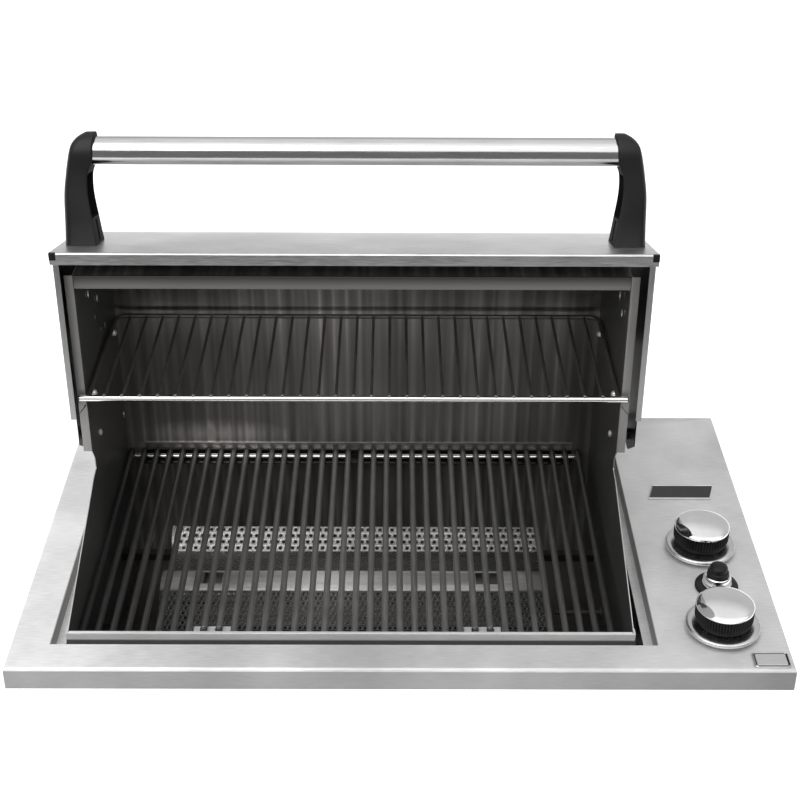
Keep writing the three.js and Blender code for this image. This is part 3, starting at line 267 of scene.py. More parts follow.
def moulded(name, low, high, roughness, pebbles, strength=0.08, specular=0.25, sides=0.0):
    """Black casting, plastic or rubber: a fine pebble grain with dull and shiny patches.
    sides is how much duller the faces are that look in along X."""
    m = Nodes(name)
    patches = m.noise(18.0)
    colour = m.ramp(patches, (0.3, grey(low)), (0.7, grey(high)))
    dull = m.span(patches, *roughness)
    if sides:
        dull = m.plus(dull, m.span(m.outward(HOOD_X), sides, 0.0, -0.9, -0.5))
    m.set(Base_Color=colour, Metallic=0.0, Roughness=dull, Specular_IOR_Level=specular)
    m.bump(m.noise(pebbles, 2.0), strength)
    return m.material


def zinc_sheet(name):
    """Galvanised sheet with its spangle."""
    m = Nodes(name)
    cells = m.new("ShaderNodeTexVoronoi", Scale=90.0, Vector=m.place)
    patch = m.axis("X", cells.outputs["Color"])
    colour = m.ramp(patch, (0.2, (0.36, 0.37, 0.38)), (0.8, (0.52, 0.53, 0.54)))
    m.set(Base_Color=colour, Metallic=1.0, Roughness=m.span(patch, 0.36, 0.56, 0.1, 0.9))
    m.bump(m.noise(300.0), 0.05)
    return m.material


def brass_bar(name):
    m = Nodes(name)
    film = m.noise(40.0)
    colour = m.ramp(film, (0.3, (0.42, 0.3, 0.11)), (0.7, (0.58, 0.44, 0.18)))
    m.set(Base_Color=colour, Metallic=1.0, Roughness=m.span(film, 0.24, 0.42))
    return m.material


def streaked_wall(name, low, high):
    """The oven's back: upright bands, paler lines at the rods' pitch and a painted highlight low on the wall.
    Its folded lip has a tone of its own, darker towards the top."""
    m = Nodes(name)
    bands = m.noise(BANDS_WALL, 1.0, 0.5)
    grain = m.noise(GRAIN_WALL, 2.0, 0.5)
    cloud = m.noise(5.0, 2.0)
    turns = m.times(m.minus(m.axis("X", m.place), LINES["x"] * MM), math.pi / (LINES["pitch"] * MM))
    lines = m.maths("POWER", m.maths("ABSOLUTE", m.maths("COSINE", turns)), LINES["sharp"])
    # Painted highlight: a soft patch of reflected light low on the back wall, placed by GLOW
    side = m.maths("DIVIDE", m.minus(m.axis("X", m.place), GLOW["x"] * MM), GLOW["half"] * MM)
    up = m.maths("DIVIDE", m.minus(m.axis("Z", m.place), (DECK_TOP + GLOW["z"]) * MM), GLOW["tall"] * MM)
    near = m.span(m.maths("SQRT", m.plus(m.times(side, side), m.times(up, up))), 1.0, 0.0, 0.0, 1.0)
    tone = m.plus(
        m.span(bands, 0.0, 0.6, *BANDS),
        m.span(grain, -0.07, 0.07),
        m.times(lines, m.span(cloud, 0.0, LINES["gain"], 0.35, 0.6)),
        m.times(near, GLOW["gain"], m.span(bands, 0.6, 1.3, *BANDS)),
        m.span(cloud, -0.2, 0.2),
    )
    inside = m.along("Y", 0.0, 1.0, *LIP_Y)
    greys = ((0.0, grey(low, 0.03)), (0.5, grey(high, 0.03)), (1.0, grey(2.2 * high, 0.06)))
    colour = m.ramp(m.times(m.blend(LIP_BAND, tone, inside), 0.5), *greys)
    graded = m.along("Z", 1.0, LIP_TOP_TONE, *LIP_Z)
    colour = m.shaded(colour, m.blend(graded, 1.0, inside))
    m.set(Base_Color=colour, Metallic=0.8, Roughness=m.span(cloud, 0.28, 0.34))
    return m.material


def rod_shade(m):
    """The rods' tone: palest in the middle, darker towards both sides, with painted shade at their rear ends.
    """
    # Painted shade over the rods' rear ends, between ROD_REAR_Y
    return m.times(m.tones("X", ROD_TONES), m.along("Y", 1.0, ROD_REAR_TONE, *ROD_REAR_Y))


def leaf_shade(m):
    """The rear rail's leaf: painted shade, nearly black, from just over the rods' undersides down,
    and a painted highlight across X, brightest left of the middle.
    """
    return m.times(m.along("Z", LEAF_LOW_TONE, 1.0, *LEAF_Z), m.tones("X", LEAF_TONES))


def lip_shade(m):
    """Painted light and shade on the deck: brighter at the left and darker at the right, painted shade below
    the top bend on the folded edge, and painted light on level faces there.
    """
    deck = m.tones("X", DECK_TONES)
    ledge = m.times(deck, m.span(m.facing("Z"), 0.0, LEDGE_TONE, 0.6, 0.9))
    fold = m.maths("MAXIMUM", m.tones("X", FOLD_TONES), ledge)
    return m.blend(fold, deck, m.along("Z", 0.0, 1.0, *FOLD_Z))


def painted_wall_light(m):
    """The side walls: dark inside, with painted light outside and on cut edges,
    and a little painted shade, grey, on faces that look forward.
    """
    offset = m.maths("ABSOLUTE", m.minus(m.axis("X", m.place), CENTRE_X * MM))
    middle = WALL_HALF - SHEET / 2
    inner = m.span(offset, WALL_TONE, OUTER_TONE, (middle - WALL_EDGE) * MM, (middle + WALL_EDGE) * MM)
    level = m.minus(1.0, m.span(m.facing("X"), 0.0, 1.0, 0.3, 0.6))
    return m.times(m.maths("MAXIMUM", level, inner), m.span(m.facing("Y"), 1.0, FLANGE_TONE, 0.6, 0.9))


def rim_shade(m):
    """Dark on the lower part of the firebox's front, in the shade of the deck's opening."""
    return m.along("Z", RIM_TONE, 1.0, *RIM_Z)


def side_shade(m):
    """The hood's sides: black ears, painted shade on the inner faces, and a little painted shade on strips
    that face forward.
    """
    ears = m.along("Z", EAR_TONE, 1.0, *EAR_Z)
    inner = m.span(m.outward(HOOD_X), INNER_TONE, 1.0, -0.8, -0.4)
    return m.times(ears, inner, m.span(m.facing("Y"), 1.0, STRIP_TONE, 0.6, 0.9))


def cover_shade(m):
    """The flame cover's strips in painted light: a dark front slope, a bright crest with a painted highlight,
    a dark rear slope and a bright rear strip; across X it is brightest left of the middle at the front and at
    the left end at the rear.
    """
    front, back, valley = CREST_FRONT[0], CREST_BACK[0], COVER_VALLEY[0]
    strips = (
        (front, SLOPE_TONE), (front + 4.0, CREST_TONE), (back - 4.0, CREST_REAR_TONE),
        (back, SLOPE_TONE), (valley - 3.0, SLOPE_TONE), (valley, STRIP_LIGHT),
    )
    rear = m.along("Y", 0.0, 1.0, *COVER_REAR_Y)
    sideways = m.blend(m.tones("X", CREST_TONES), m.tones("X", REAR_STRIP_TONES), rear)
    return m.times(m.tones("Y", strips), sideways, COVER_LIGHT)


LOOKS = {
    "brushed": brushed("brushed_sheet", 0.58, 0.7),
    "heated": brushed("heated_sheet", 0.1, 0.17, GRAIN_Z, (0.3, 0.46), 0.04, 0.5),
    "galv": zinc_sheet("zinc_sheet"),
    "chrome": polished("bright_plating", 0.72, 0.84),
    "rod": brushed("drawn_rod", 0.36, 0.52, GRAIN_Y, (0.36, 0.5), 0.02, 0.4, darker=rod_shade, metal=0.8),
    "cast": moulded("black_casting", 0.006, 0.012, (0.34, 0.44), 900.0, 0.2, 0.3, sides=0.5),
    "plastic": moulded("black_plastic", 0.005, 0.01, (0.38, 0.5), 600.0, 0.2, 0.18),
    "rubber": moulded("black_rubber", 0.005, 0.01, (0.35, 0.5), 500.0, 0.15),
    "brass": brass_bar("machined_brass"),
    "ceramic": moulded("sooted_ceramic", 0.03, 0.07, (0.45, 0.6), 200.0, specular=0.3),
    "plate": moulded("dark_plate", 0.008, 0.014, (0.2, 0.3), 500.0, specular=0.5),
}
DECK_STEEL = brushed(
    "deck_sheet", 0.64, 0.88, roughness=(0.42, 0.54), clouds=0.45, contrast=0.3, darker=lip_shade, metal=0.55
)
HOOD_STEEL = brushed("hood_sheet", 0.5, 0.72, roughness=(0.28, 0.4), clouds=0.5, contrast=0.6)
HOOD_SIDE = brushed("hood_side_sheet", 0.46, 0.58, GRAIN_Z, (0.34, 0.44), darker=side_shade)
# The side walls carry painted light outside and on their cut edges, and painted shade on forward faces
WALL_STEEL = brushed(
    "side_wall_sheet", 0.44, 0.62, GRAIN_Z, (0.34, 0.5), 0.02, 0.5, darker=painted_wall_light, metal=0.6
)
RIM_STEEL = brushed("rim_sheet", 0.75, 0.9, roughness=(0.28, 0.4), metal=0.45)
FRONT_STEEL = brushed("front_sheet", 0.75, 0.9, roughness=(0.28, 0.4), darker=rim_shade, metal=0.45)
STREAKED = streaked_wall("streaked_sheet", 0.2, 0.42)
# The flame cover: a burnt sheet with painted light and a painted highlight on its crest
COVER_STEEL = brushed(
    "burnt_sheet_painted_light", 0.3, 0.44, (6.0, 200.0, 200.0), (0.34, 0.48), 0.02, 0.9, darker=cover_shade, metal=0.4
)
DARK_WIRE = brushed("dark_wire", 0.1, 0.18, GRAIN_Y, (0.3, 0.45), 0.06, 0.4, metal=0.8)
LEAF_STEEL = brushed(
    "rail_leaf_sheet", 0.3, 0.42, GRAIN_X, (0.26, 0.34), 0.03, 0.3, darker=leaf_shade, metal=0.8
)
BUTTON = polished("bright_button", 0.8, 0.92, (0.12, 0.2), metal=0.5)
# Near-white plate colour: a painted highlight for the glint on the cover's end plate
PALE_STEEL = polished("pale_plate", 0.92, 0.98, (0.3, 0.4), metal=0.4)
FRAME_STEEL = polished("frame_plating", 0.4, 0.55, (0.08, 0.14))
FACET_STEEL = polished("facet_plating", 0.3, 0.5, (0.1, 0.16))
BRIGHT_WIRE = polished("polished_wire", 0.75, 0.86, (0.08, 0.16), 0.02)
BAR_STEEL = brushed("polished_tube", 0.58, 0.68, (30.0, 500.0, 500.0), (0.12, 0.2), clouds=0.2)
BLACKENED = moulded("blackened_end", 0.004, 0.008, (0.14, 0.2), 300.0, 0.03, 0.8)
BEZEL_STEEL = brushed("bezel_plating", 0.6, 0.7, (60.0, 60.0, 60.0), (0.22, 0.3))


def dress(obj, look):
    obj.data.materials.clear()
    obj.data.materials.append(look)


for name, obj in NODES.items():
    dress(obj, LOOKS[SLOT_OF[name]])


# Making pieces


def full_turn(count):
    """Angles evenly round a circle."""
    return [2 * math.pi * k / count for k in range(count)]


def turned(profile, place, sides):
    """Rings of a profile of (radius, distance) turned round an axis; place puts (across, up, distance)."""
    angles = [2 * math.pi * (i + 0.5) / sides for i in range(sides)]
    return [[place(r * math.cos(a), r * math.sin(a), t) for a in angles] for r, t in profile]


def upright(x, y):
    return lambda u, v, t: (x + u, y + v, t)


def along_x(y, z):
    return lambda u, v, t: (t, y + u, z + v)


def along_y(x, z):
    return lambda u, v, t: (x + u, t, z + v)


def rounded_rod(radius, start, end, ease):
    """A rod's profile with eased ends."""
    inner = radius - ease
    return [(0, start), (inner, start), (radius, start + ease), (radius, end - ease), (inner, end), (0, end)]


def dome(radius, base, height, steps=8):
    """A dome's profile, from its rim to its top."""
    turns = (math.pi / 2 * k / steps for k in range(steps + 1))
    return [(radius * math.cos(t), base + height * math.sin(t)) for t in turns]


def linked(name, data):
    """A new object in the scene with this data."""
    obj = bpy.data.objects.new(name, data)
    bpy.context.scene.collection.objects.link(obj)
    return obj


WELD, FINE_WELD = 2e-6, 1e-6  # in metres
FLAT_ANGLE = 0.002  # in radians
SOFT_ANGLE, BEVEL_ANGLE = 32.0, 30.0  # in degrees


class Shape:
    """Closed bodies gathered for one mesh."""

    def __init__(self):
        self.points = []
        self.faces = []

    def add(self, points, faces):
        base = len(self.points)
        self.points += points
        self.faces += [tuple(base + i for i in face) for face in faces]
        return self

    def loft(self, rings, ends=True):
        """A body through rings of points with the same count."""
        n = len(rings[0])
        sides = [
            (r * n + i, r * n + (i + 1) % n, (r + 1) * n + (i + 1) % n, (r + 1) * n + i)
            for r in range(len(rings) - 1)
            for i in range(n)
        ]
        last = (len(rings) - 1) * n
        caps = [tuple(range(n)), tuple(last + i for i in range(n))] if ends else []
        return self.add([point for ring in rings for point in ring], sides + caps)

    def rod(self, radius, start, end, place, ease, sides):
        return self.loft(turned(rounded_rod(radius, start, end, ease), place, sides), ends=False)

    def object(self, name):
        mesh = bpy.data.meshes.new(name)
        mesh.from_pydata([at(*point) for point in self.points], [], self.faces)
        work = bmesh.new()
        work.from_mesh(mesh)
        bmesh.ops.remove_doubles(work, verts=work.verts, dist=WELD)
        bmesh.ops.recalc_face_normals(work, faces=work.faces)
        work.to_mesh(mesh)
        work.free()
        return linked(name, mesh)


def lathe(name, profile, place, sides=64):
    """An object turned from a closed profile."""
    return Shape().loft(turned(profile, place, sides), ends=False).object(name)


def slab(x0, x1, y0, y1, z0, z1):
    return Shape().loft([[(x, y0, z0), (x, y0, z1), (x, y1, z1), (x, y1, z0)] for x in (x0, x1)])


def carved(obj, *cutters):
    """obj with the cutters taken out of it."""
    for cutter in cutters:
        modifier = obj.modifiers.new("cut", "BOOLEAN")
        modifier.object = cutter
        modifier.solver = "EXACT"
    view = bpy.context.evaluated_depsgraph_get()
    mesh = bpy.data.meshes.new_from_object(obj.evaluated_get(view))
    obj.modifiers.clear()
    obj.data = mesh
    for cutter in cutters:
        bpy.data.objects.remove(cutter)


def stand_in(obj, look, node, angle=SOFT_ANGLE, bevel=0.0):
    """obj is shown in place of the node and rides on its body."""
    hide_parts(node)
    DONE.add(node)
    added(obj, look, BODY_OF[node], angle, bevel)


def added(obj, look, body, angle=SOFT_ANGLE, bevel=0.0):
    """obj rides on the body and takes the given finish."""
    dress(obj, look)
    mesh = obj.data
    mesh.polygons.foreach_set("use_smooth", [True] * len(mesh.polygons))
    mesh.set_sharp_from_angle(angle=math.radians(angle))
    if bevel:
        edges = obj.modifiers.new("edges", "BEVEL")
        edges.width = bevel * MM
        edges.segments = 2
        edges.limit_method = "ANGLE"
        edges.angle_limit = math.radians(BEVEL_ANGLE)
        edges.harden_normals = True
    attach(obj, body)


DONE = set()


def refined(node, look=None, bevel=0.0, angle=SOFT_ANGLE):
    """The node's own shape with clean faces, smooth curves and eased edges."""
    mesh = NODES[node].data.copy()
    work = bmesh.new()
    work.from_mesh(mesh)
    bmesh.ops.remove_doubles(work, verts=work.verts, dist=FINE_WELD)
    flat = [e for e in work.edges if len(e.link_faces) == 2 and e.calc_face_angle(1.0) < FLAT_ANGLE]
    bmesh.ops.dissolve_edges(work, edges=flat, use_verts=False)
    work.to_mesh(mesh)
    work.free()
    stand_in(linked(node + "_fine", mesh), look or LOOKS[SLOT_OF[node]], node, angle, bevel)


def arc(middle, radius, start, end, steps):
    """Points of an arc, ends included, angles in radians."""
    angles = [start + (end - start) * i / steps for i in range(steps + 1)]
    return [(middle[0] + radius * math.cos(a), middle[1] + radius * math.sin(a)) for a in angles]


def beside(line, distance):
    """An open line of points moved to its right by a distance, with mitred corners."""
    moved = []
    for i, point in enumerate(line):
        here = Vector(point)
        into = (here - Vector(line[i - 1])).normalized() if i else None
        out = (Vector(line[i + 1]) - here).normalized() if i + 1 < len(line) else None
        run = ((into or out) + (out or into)).normalized()
        reach = distance / run.dot(out or into)
        moved.append((here.x + run.y * reach, here.y - run.x * reach))
    return moved


SIDES = {"left": -1, "right": 1}

# Sizes that the finer pieces share, in mm

FLOOR_Z = -205.0
HOOD_HALF, HOOD_EDGE = 334.2, 3.3
HOOD_FACE, HOOD_LIP, HOOD_REACH, HOOD_BEND, HOOD_RETURN = 252.0, 15.0, 277.4, 2.6, 7.0
PIVOT, DRUM = (326.0, 101.0), 246.1
EASE = 0.3  # how far most edges are eased; the next ones are for single pieces
DECK_EASE, FRONT_EASE, SKIN_EASE, CORNER_EASE, PLATE_EASE = 0.5, 0.35, 0.4, 0.7, 1.2

# Deck, firebox and oven

CORE_HALF = WALL_HALF - SHEET  # closes the seam at the side walls


def make_oven_back():
    turn = (BACK_Y - OVEN_CROWN, OVEN_TOP - OVEN_CROWN)
    line = [
        (FACE_Y, OVEN_TOP - OVEN_LIP),
        (FACE_Y, OVEN_TOP),
        *arc(turn, OVEN_CROWN, math.pi / 2, 0, steps=40),
        (BACK_Y, FLOOR_Z),
    ]
    profile = line + beside(line, SHEET)[::-1]
    rings = [[(x, y, z) for y, z in profile] for x in (CENTRE_X - CORE_HALF, CENTRE_X + CORE_HALF)]
    stand_in(Shape().loft(rings).object("oven_back_sheet"), STREAKED, "oven_back", bevel=SKIN_EASE)


def finish_box():
    make_oven_back()
    refined("firebox_front", FRONT_STEEL, bevel=FRONT_EASE)
    for side in SIDES:
        refined(f"firebox_side_{side}", WALL_STEEL, bevel=EASE)
        refined(f"oven_side_{side}", WALL_STEEL, bevel=EASE)
    refined("grid_rail_rear", LEAF_STEEL, bevel=EASE)


# Grids

GRID = {"pitch": 17.31, "rods": 18, "rod": 3.9, "ease": 0.8, "front": 66, "short": 98, "back": 484, "z": -24}
GRID_MIDDLE = {"left": -216.49, "right": 95.09}
GRID_BAR = {"radius": 3.4, "inset": 6, "below": 6.1}
ROD_END = {"radius": 4.4, "length": 2.6, "lap": 0.4, "ease": 0.9}
TAB = {"half": 21.5, "front": 75.7, "back": 109, "thick": 1.6, "gap": 0.3}  # under the short rods


def make_grid(side):
    middle = GRID_MIDDLE[side]
    half = (GRID["rods"] - 1) * GRID["pitch"] / 2
    rods, ends, bars = Shape(), Shape(), Shape()
    for i in range(GRID["rods"]):
        x = middle - half + i * GRID["pitch"]
        short = abs(i - (GRID["rods"] - 1) / 2) < 1
        start = GRID["short"] if short else GRID["front"]
        place = along_y(x, GRID["z"])
        rods.rod(GRID["rod"], start, GRID["back"], place, GRID["ease"], sides=20)
        if short:
            y0, y1 = start - ROD_END["length"], start + ROD_END["lap"]
            ends.rod(ROD_END["radius"], y0, y1, place, ROD_END["ease"], sides=24)
    low = GRID["z"] - GRID_BAR["below"]
    span = (middle - half - GRID_BAR["radius"], middle + half + GRID_BAR["radius"])
    for y in (GRID["front"] + GRID_BAR["inset"], GRID["back"] - GRID_BAR["inset"]):
        bars.rod(GRID_BAR["radius"], *span, along_x(y, low), GRID["ease"], sides=20)
    node = f"cooking_grid_{side}"
    body = BODY_OF[node]
    stand_in(rods.object(f"grid_rods_{side}"), LOOKS["rod"], node)
    added(bars.object(f"grid_bars_{side}"), BRIGHT_WIRE, body)
    added(ends.object(f"grid_rod_ends_{side}"), BLACKENED, body)
    z1 = GRID["z"] - GRID["rod"] - TAB["gap"]
    strip = slab(middle - TAB["half"], middle + TAB["half"], TAB["front"], TAB["back"], z1 - TAB["thick"], z1)
    stand_in(strip.object(f"lift_strip_{side}"), RIM_STEEL, f"lift_tab_{side}", bevel=SKIN_EASE)


# Warming rack

RACK = {"z": 184, "front": 267.5, "back": 478, "bar": 4, "wire": 3, "rod": 1.9, "pitch": 20.9, "rods": 29}
RACK_HALF = {"bar": 323, "side": 311.8, "back": 311.4, "corner": 13}
BEAD = {"radius": 2.9, "flat": 0.9, "sunk": 0.6}  # the weld of each rod on the bar
RACK_EASE = {"bar": 1.2, "rod": 0.5}


def rack_path():
    """The frame's wire: back along one side, round both rear corners and forward."""
    corner = RACK_HALF["corner"]
    inner = RACK_HALF["back"] - corner
    y = RACK["back"] - corner
    left = [(CENTRE_X - px, py) for px, py in arc((inner, y), corner, 0, math.pi / 2, steps=8)]
    right = [(2 * CENTRE_X - px, py) for px, py in left[::-1]]
    side = RACK_HALF["side"]
    return [(CENTRE_X - side, RACK["front"]), *left, *right, (CENTRE_X + side, RACK["front"])]


def swept(path, radius, z, sides=14):
    """Rings of a level wire along a path of (x, y) points."""
    turns = full_turn(sides)
    lines = [beside(path, radius * math.cos(t)) for t in turns]
    heights = [z + radius * math.sin(t) for t in turns]
    return [[(*lines[i][k], heights[i]) for i in range(sides)] for k in range(len(path))]


def make_rack():
    front, z = RACK["front"], RACK["z"]
    frame_wire, bar = Shape().loft(swept(rack_path(), RACK["wire"], z)), Shape()
    reach = RACK_HALF["bar"]
    bar.rod(RACK["bar"], CENTRE_X - reach, CENTRE_X + reach, along_x(front, z), RACK_EASE["bar"], sides=32)
    half = (RACK["rods"] - 1) * RACK["pitch"] / 2
    turns = [math.pi * k / 8 for k in range(9)]
    r = BEAD["radius"]
    bead = [(r * math.sin(t), front - r * math.cos(t) * BEAD["flat"]) for t in turns]
    for i in range(RACK["rods"]):
        x = CENTRE_X - half + i * RACK["pitch"]
        frame_wire.rod(RACK["rod"], front, RACK["back"], along_y(x, z), RACK_EASE["rod"], sides=12)
        over = along_y(x, z + RACK["bar"] - BEAD["sunk"])
        frame_wire.loft(turned(bead, over, sides=14), ends=False)
    stand_in(frame_wire.object("rack_wires"), DARK_WIRE, "warming_rack")
    added(bar.object("rack_front_bar"), BRIGHT_WIRE, BODY_OF["warming_rack"])


PIN = {"radius": 4.5, "reach": 4.5, "dome": 4.4, "z": 176.2, "gap": 0.3, "shank": 2.2, "root": 4.6}
PIN_Y = {"front": 293.5, "rear": 446}
MARK = {"half": 2.4, "tall": 5.6, "proud": 0.6, "top_share": 0.8}
MARKS = {"left": ((343.4, 282.3), (390.9, 253.2), (482, 33)), "right": ((345, 282.3), (319.5, 271.4))}


def make_marks():
    """Bright ovals pressed into the oven's side walls."""
    for side, sign in SIDES.items():
        shape = Shape()
        x0 = CENTRE_X + sign * (WALL_HALF - SHEET / 2)
        x1 = CENTRE_X + sign * (WALL_HALF - SHEET - MARK["proud"])
        for y, z in MARKS[side]:
            rings = []
            for x, share in ((x0, 1.0), (x1, MARK["top_share"])):
                half, tall = share * MARK["half"], share * MARK["tall"]
                spots = [(y + half * math.cos(t), z + tall * math.sin(t)) for t in full_turn(24)]
                rings.append([(x, *spot) for spot in spots])
            shape.loft(rings)
        added(shape.object(f"wall_marks_{side}"), BUTTON, "firebox", angle=60)


def make_pins():
    """The domed buttons that carry the rack, and the pivots' bolts and bushes."""
    shank, root, radius = PIN["shank"], -PIN["root"], PIN["radius"]
    inner = WALL_HALF - SHEET - PIN["gap"]
    line = [(0, root), (shank, root), (shank, 0), (radius, 0), *dome(radius, PIN["reach"], PIN["dome"])]
    for side, sign in SIDES.items():
        for where, y in PIN_Y.items():
            profile = [(r, CENTRE_X + sign * (inner - t)) for r, t in line]
            head = lathe(f"rack_stud_{where}_{side}", profile, along_x(y, PIN["z"]), sides=28)
            stand_in(head, BUTTON, f"rack_pin_{where}_{side}", angle=50)
        refined(f"pivot_bolt_{side}", BUTTON, angle=50)
        refined(f"pivot_bush_{side}", BLACKENED)


# Flame cover

CREST_BULGE = 5.0
HOLES = {"rear": (4, 8, 2.3, 8), "slope": (12, 7.2, 1.8, 4), "front": (8, 6.2, 1.65, 4)}  # see pierced
WINDOW = {"width": 27.5, "left": 49.5, "right": 60.5, "near": 0.22, "far": 0.8}


def pierced(shape, start, end, rows, cell, radius, corners):
    """A flat strip from start to end (y, z) with staggered rows of holes; a cell has 4 or 8 corners."""
    left, width = COVER_X - COVER_HALF, 2 * COVER_HALF
    count = round(width / cell)
    cell = width / count
    run = Vector(end) - Vector(start)
    height = run.length / rows
    run.normalize()

    def put(x, s):
        return (x, *(Vector(start) + run * s))

    def plain(x0, x1, s0, s1):
        shape.add([put(x0, s0), put(x1, s0), put(x1, s1), put(x0, s1)], [(0, 1, 2, 3)])

    sides = 2 * corners
    for row in range(rows):
        s0, s1 = row * height, (row + 1) * height
        shift = cell / 2 if row % 2 else 0.0
        if shift:
            plain(left, left + shift, s0, s1)
            plain(left + width - shift, left + width, s0, s1)
        for i in range(count - (1 if shift else 0)):
            x0 = left + shift + i * cell
            middle = (x0 + cell / 2, (s0 + s1) / 2)
            outline = [(x0, s0), (x0 + cell, s0), (x0 + cell, s1), (x0, s1)]
            if corners == 8:
                after = outline[1:] + outline[:1]
                halves = [[(a + b) / 2 for a, b in zip(p, q)] for p, q in zip(outline, after)]
                outline = [p for pair in zip(outline, halves) for p in pair]
            aim = math.atan2(outline[0][1] - middle[1], outline[0][0] - middle[0])
            turns = (aim + 2 * math.pi * k / sides for k in range(sides))
            hole = [(middle[0] + radius * math.cos(t), middle[1] + radius * math.sin(t)) for t in turns]
            n = corners
            rest = [tuple(n + (2 * k + i) % sides for i in (2, 1, 0)) for k in range(n)]
            shape.add([put(*p) for p in outline + hole], [(k, (k + 1) % n, *rest[k]) for k in range(n)])


END_PLATE = {"long": 16.5, "tall": 7.5, "above": 5, "thick": 4, "out": 3}


def make_cover_end():
    """The oval plate that closes the rear strip's left end, made bright by a painted highlight in its
    near-white colour.
    """
    along = (Vector(COVER_BACK) - Vector(COVER_VALLEY)).normalized()
    up = Vector((-along.y, along.x))
    middle = (Vector(COVER_BACK) + Vector(COVER_VALLEY)) / 2 + up * END_PLATE["above"]
    long, tall = along * END_PLATE["long"], up * END_PLATE["tall"]
    spots = [middle + long * math.cos(t) + tall * math.sin(t) for t in full_turn(40)]
    x = COVER_X - COVER_HALF - END_PLATE["out"]
    rings = [[(level, *spot) for spot in spots] for level in (x, x + END_PLATE["thick"])]
    added(Shape().loft(rings).object("cover_end_plate"), PALE_STEEL, "cover", bevel=PLATE_EASE)


def make_cover():
    shape = Shape()
    pierced(shape, COVER_VALLEY, COVER_BACK, *HOLES["rear"])
    pierced(shape, CREST_BACK, COVER_VALLEY, *HOLES["slope"])
    pierced(shape, COVER_TOE, CREST_FRONT, *HOLES["front"])
    x0, x1 = COVER_X - COVER_HALF, COVER_X + COVER_HALF
    steps = 12
    (y, z), depth = CREST_FRONT, CREST_BACK[0] - CREST_FRONT[0]
    shares = [k / steps for k in range(steps + 1)]
    run = [(y + depth * share, z + CREST_BULGE * (1 - (2 * share - 1) ** 2)) for share in shares]
    left, right, width = WINDOW["left"], WINDOW["right"], WINDOW["width"]
    columns = [x0, x0 + left, x0 + left + width, x1 - right - width, x1 - right, x1]
    for k in range(steps):
        for c in range(len(columns) - 1):
            if c in (1, 3) and WINDOW["near"] * steps < k + 0.5 < WINDOW["far"] * steps:
                continue
            a, b = columns[c], columns[c + 1]
            shape.add([(a, *run[k]), (b, *run[k]), (b, *run[k + 1]), (a, *run[k + 1])], [(0, 1, 2, 3)])
    make_cover_end()
    obj = shape.object("flame_cover_sheet")
    solid = obj.modifiers.new("sheet", "SOLIDIFY")
    solid.thickness = COVER_SHEET * MM
    solid.offset = -1.0
    stand_in(obj, COVER_STEEL, "flame_cover", angle=25)


# Hood

PIVOT_BACK = PIVOT[0] - HOOD_FACE
PANEL_TILT = math.acos(DRUM / math.hypot(PIVOT_BACK, HOOD_REACH)) - math.atan2(PIVOT_BACK, HOOD_REACH)
PANEL_RUN = (math.cos(PANEL_TILT), -math.sin(PANEL_TILT))
PANEL_NORMAL = (math.sin(PANEL_TILT), math.cos(PANEL_TILT))
HOOD_CORNER = (HOOD_FACE, PIVOT[1] + HOOD_REACH)


def on_panel(x, along, above):
    """A place over the hood's flat panel: x, distance along it from the lip's corner, height over it."""
    y = HOOD_CORNER[0] + along * PANEL_RUN[0] + above * PANEL_NORMAL[0]
    z = HOOD_CORNER[1] + along * PANEL_RUN[1] + above * PANEL_NORMAL[1]
    return (x, y, z)


def make_hood_skin():
    half, deep = HOOD_HALF + HOOD_EDGE, HOOD_RETURN
    bend = (HOOD_FACE + HOOD_BEND, HOOD_CORNER[1] - HOOD_BEND * math.tan(math.pi / 4 + PANEL_TILT / 2))
    line = [
        (HOOD_FACE, HOOD_CORNER[1] - HOOD_LIP),
        *arc(bend, HOOD_BEND, math.pi, math.pi / 2 - PANEL_TILT, steps=8),
        *arc(PIVOT, DRUM, math.pi / 2 - PANEL_TILT, 0, steps=64),
    ]
    lines = {d: beside(line, d) for d in (0.0, SHEET, deep)}
    section = [
        (-half, 0.0), (half, 0.0), (half, deep), (half - SHEET, deep),
        (half - SHEET, SHEET), (-half + SHEET, SHEET), (-half + SHEET, deep), (-half, deep),
    ]
    rings = [[(HOOD_X + x, *lines[d][k]) for x, d in section] for k in range(len(line))]
    stand_in(Shape().loft(rings).object("hood_sheet_skin"), HOOD_STEEL, "hood_skin", bevel=SKIN_EASE)


CORNER_CAP = {"width": 7.4, "tall": 8.8, "proud": 0.7, "deep": 3, "below": 0.6, "past": 0.2}


def make_corner_caps():
    """Black moulded ends over the lip's two top corners."""
    half = HOOD_HALF + HOOD_EDGE
    z1 = HOOD_CORNER[1] - CORNER_CAP["below"]
    rest = (HOOD_FACE - CORNER_CAP["proud"], HOOD_FACE + CORNER_CAP["deep"], z1 - CORNER_CAP["tall"], z1)
    for side, sign in SIDES.items():
        reaches = (half - CORNER_CAP["width"], half + CORNER_CAP["past"])
        ends = sorted(HOOD_X + sign * reach for reach in reaches)
        obj = slab(*ends, *rest).object(f"hood_corner_{side}")
        added(obj, LOOKS["rubber"], "hood", bevel=CORNER_EASE)


# Handle

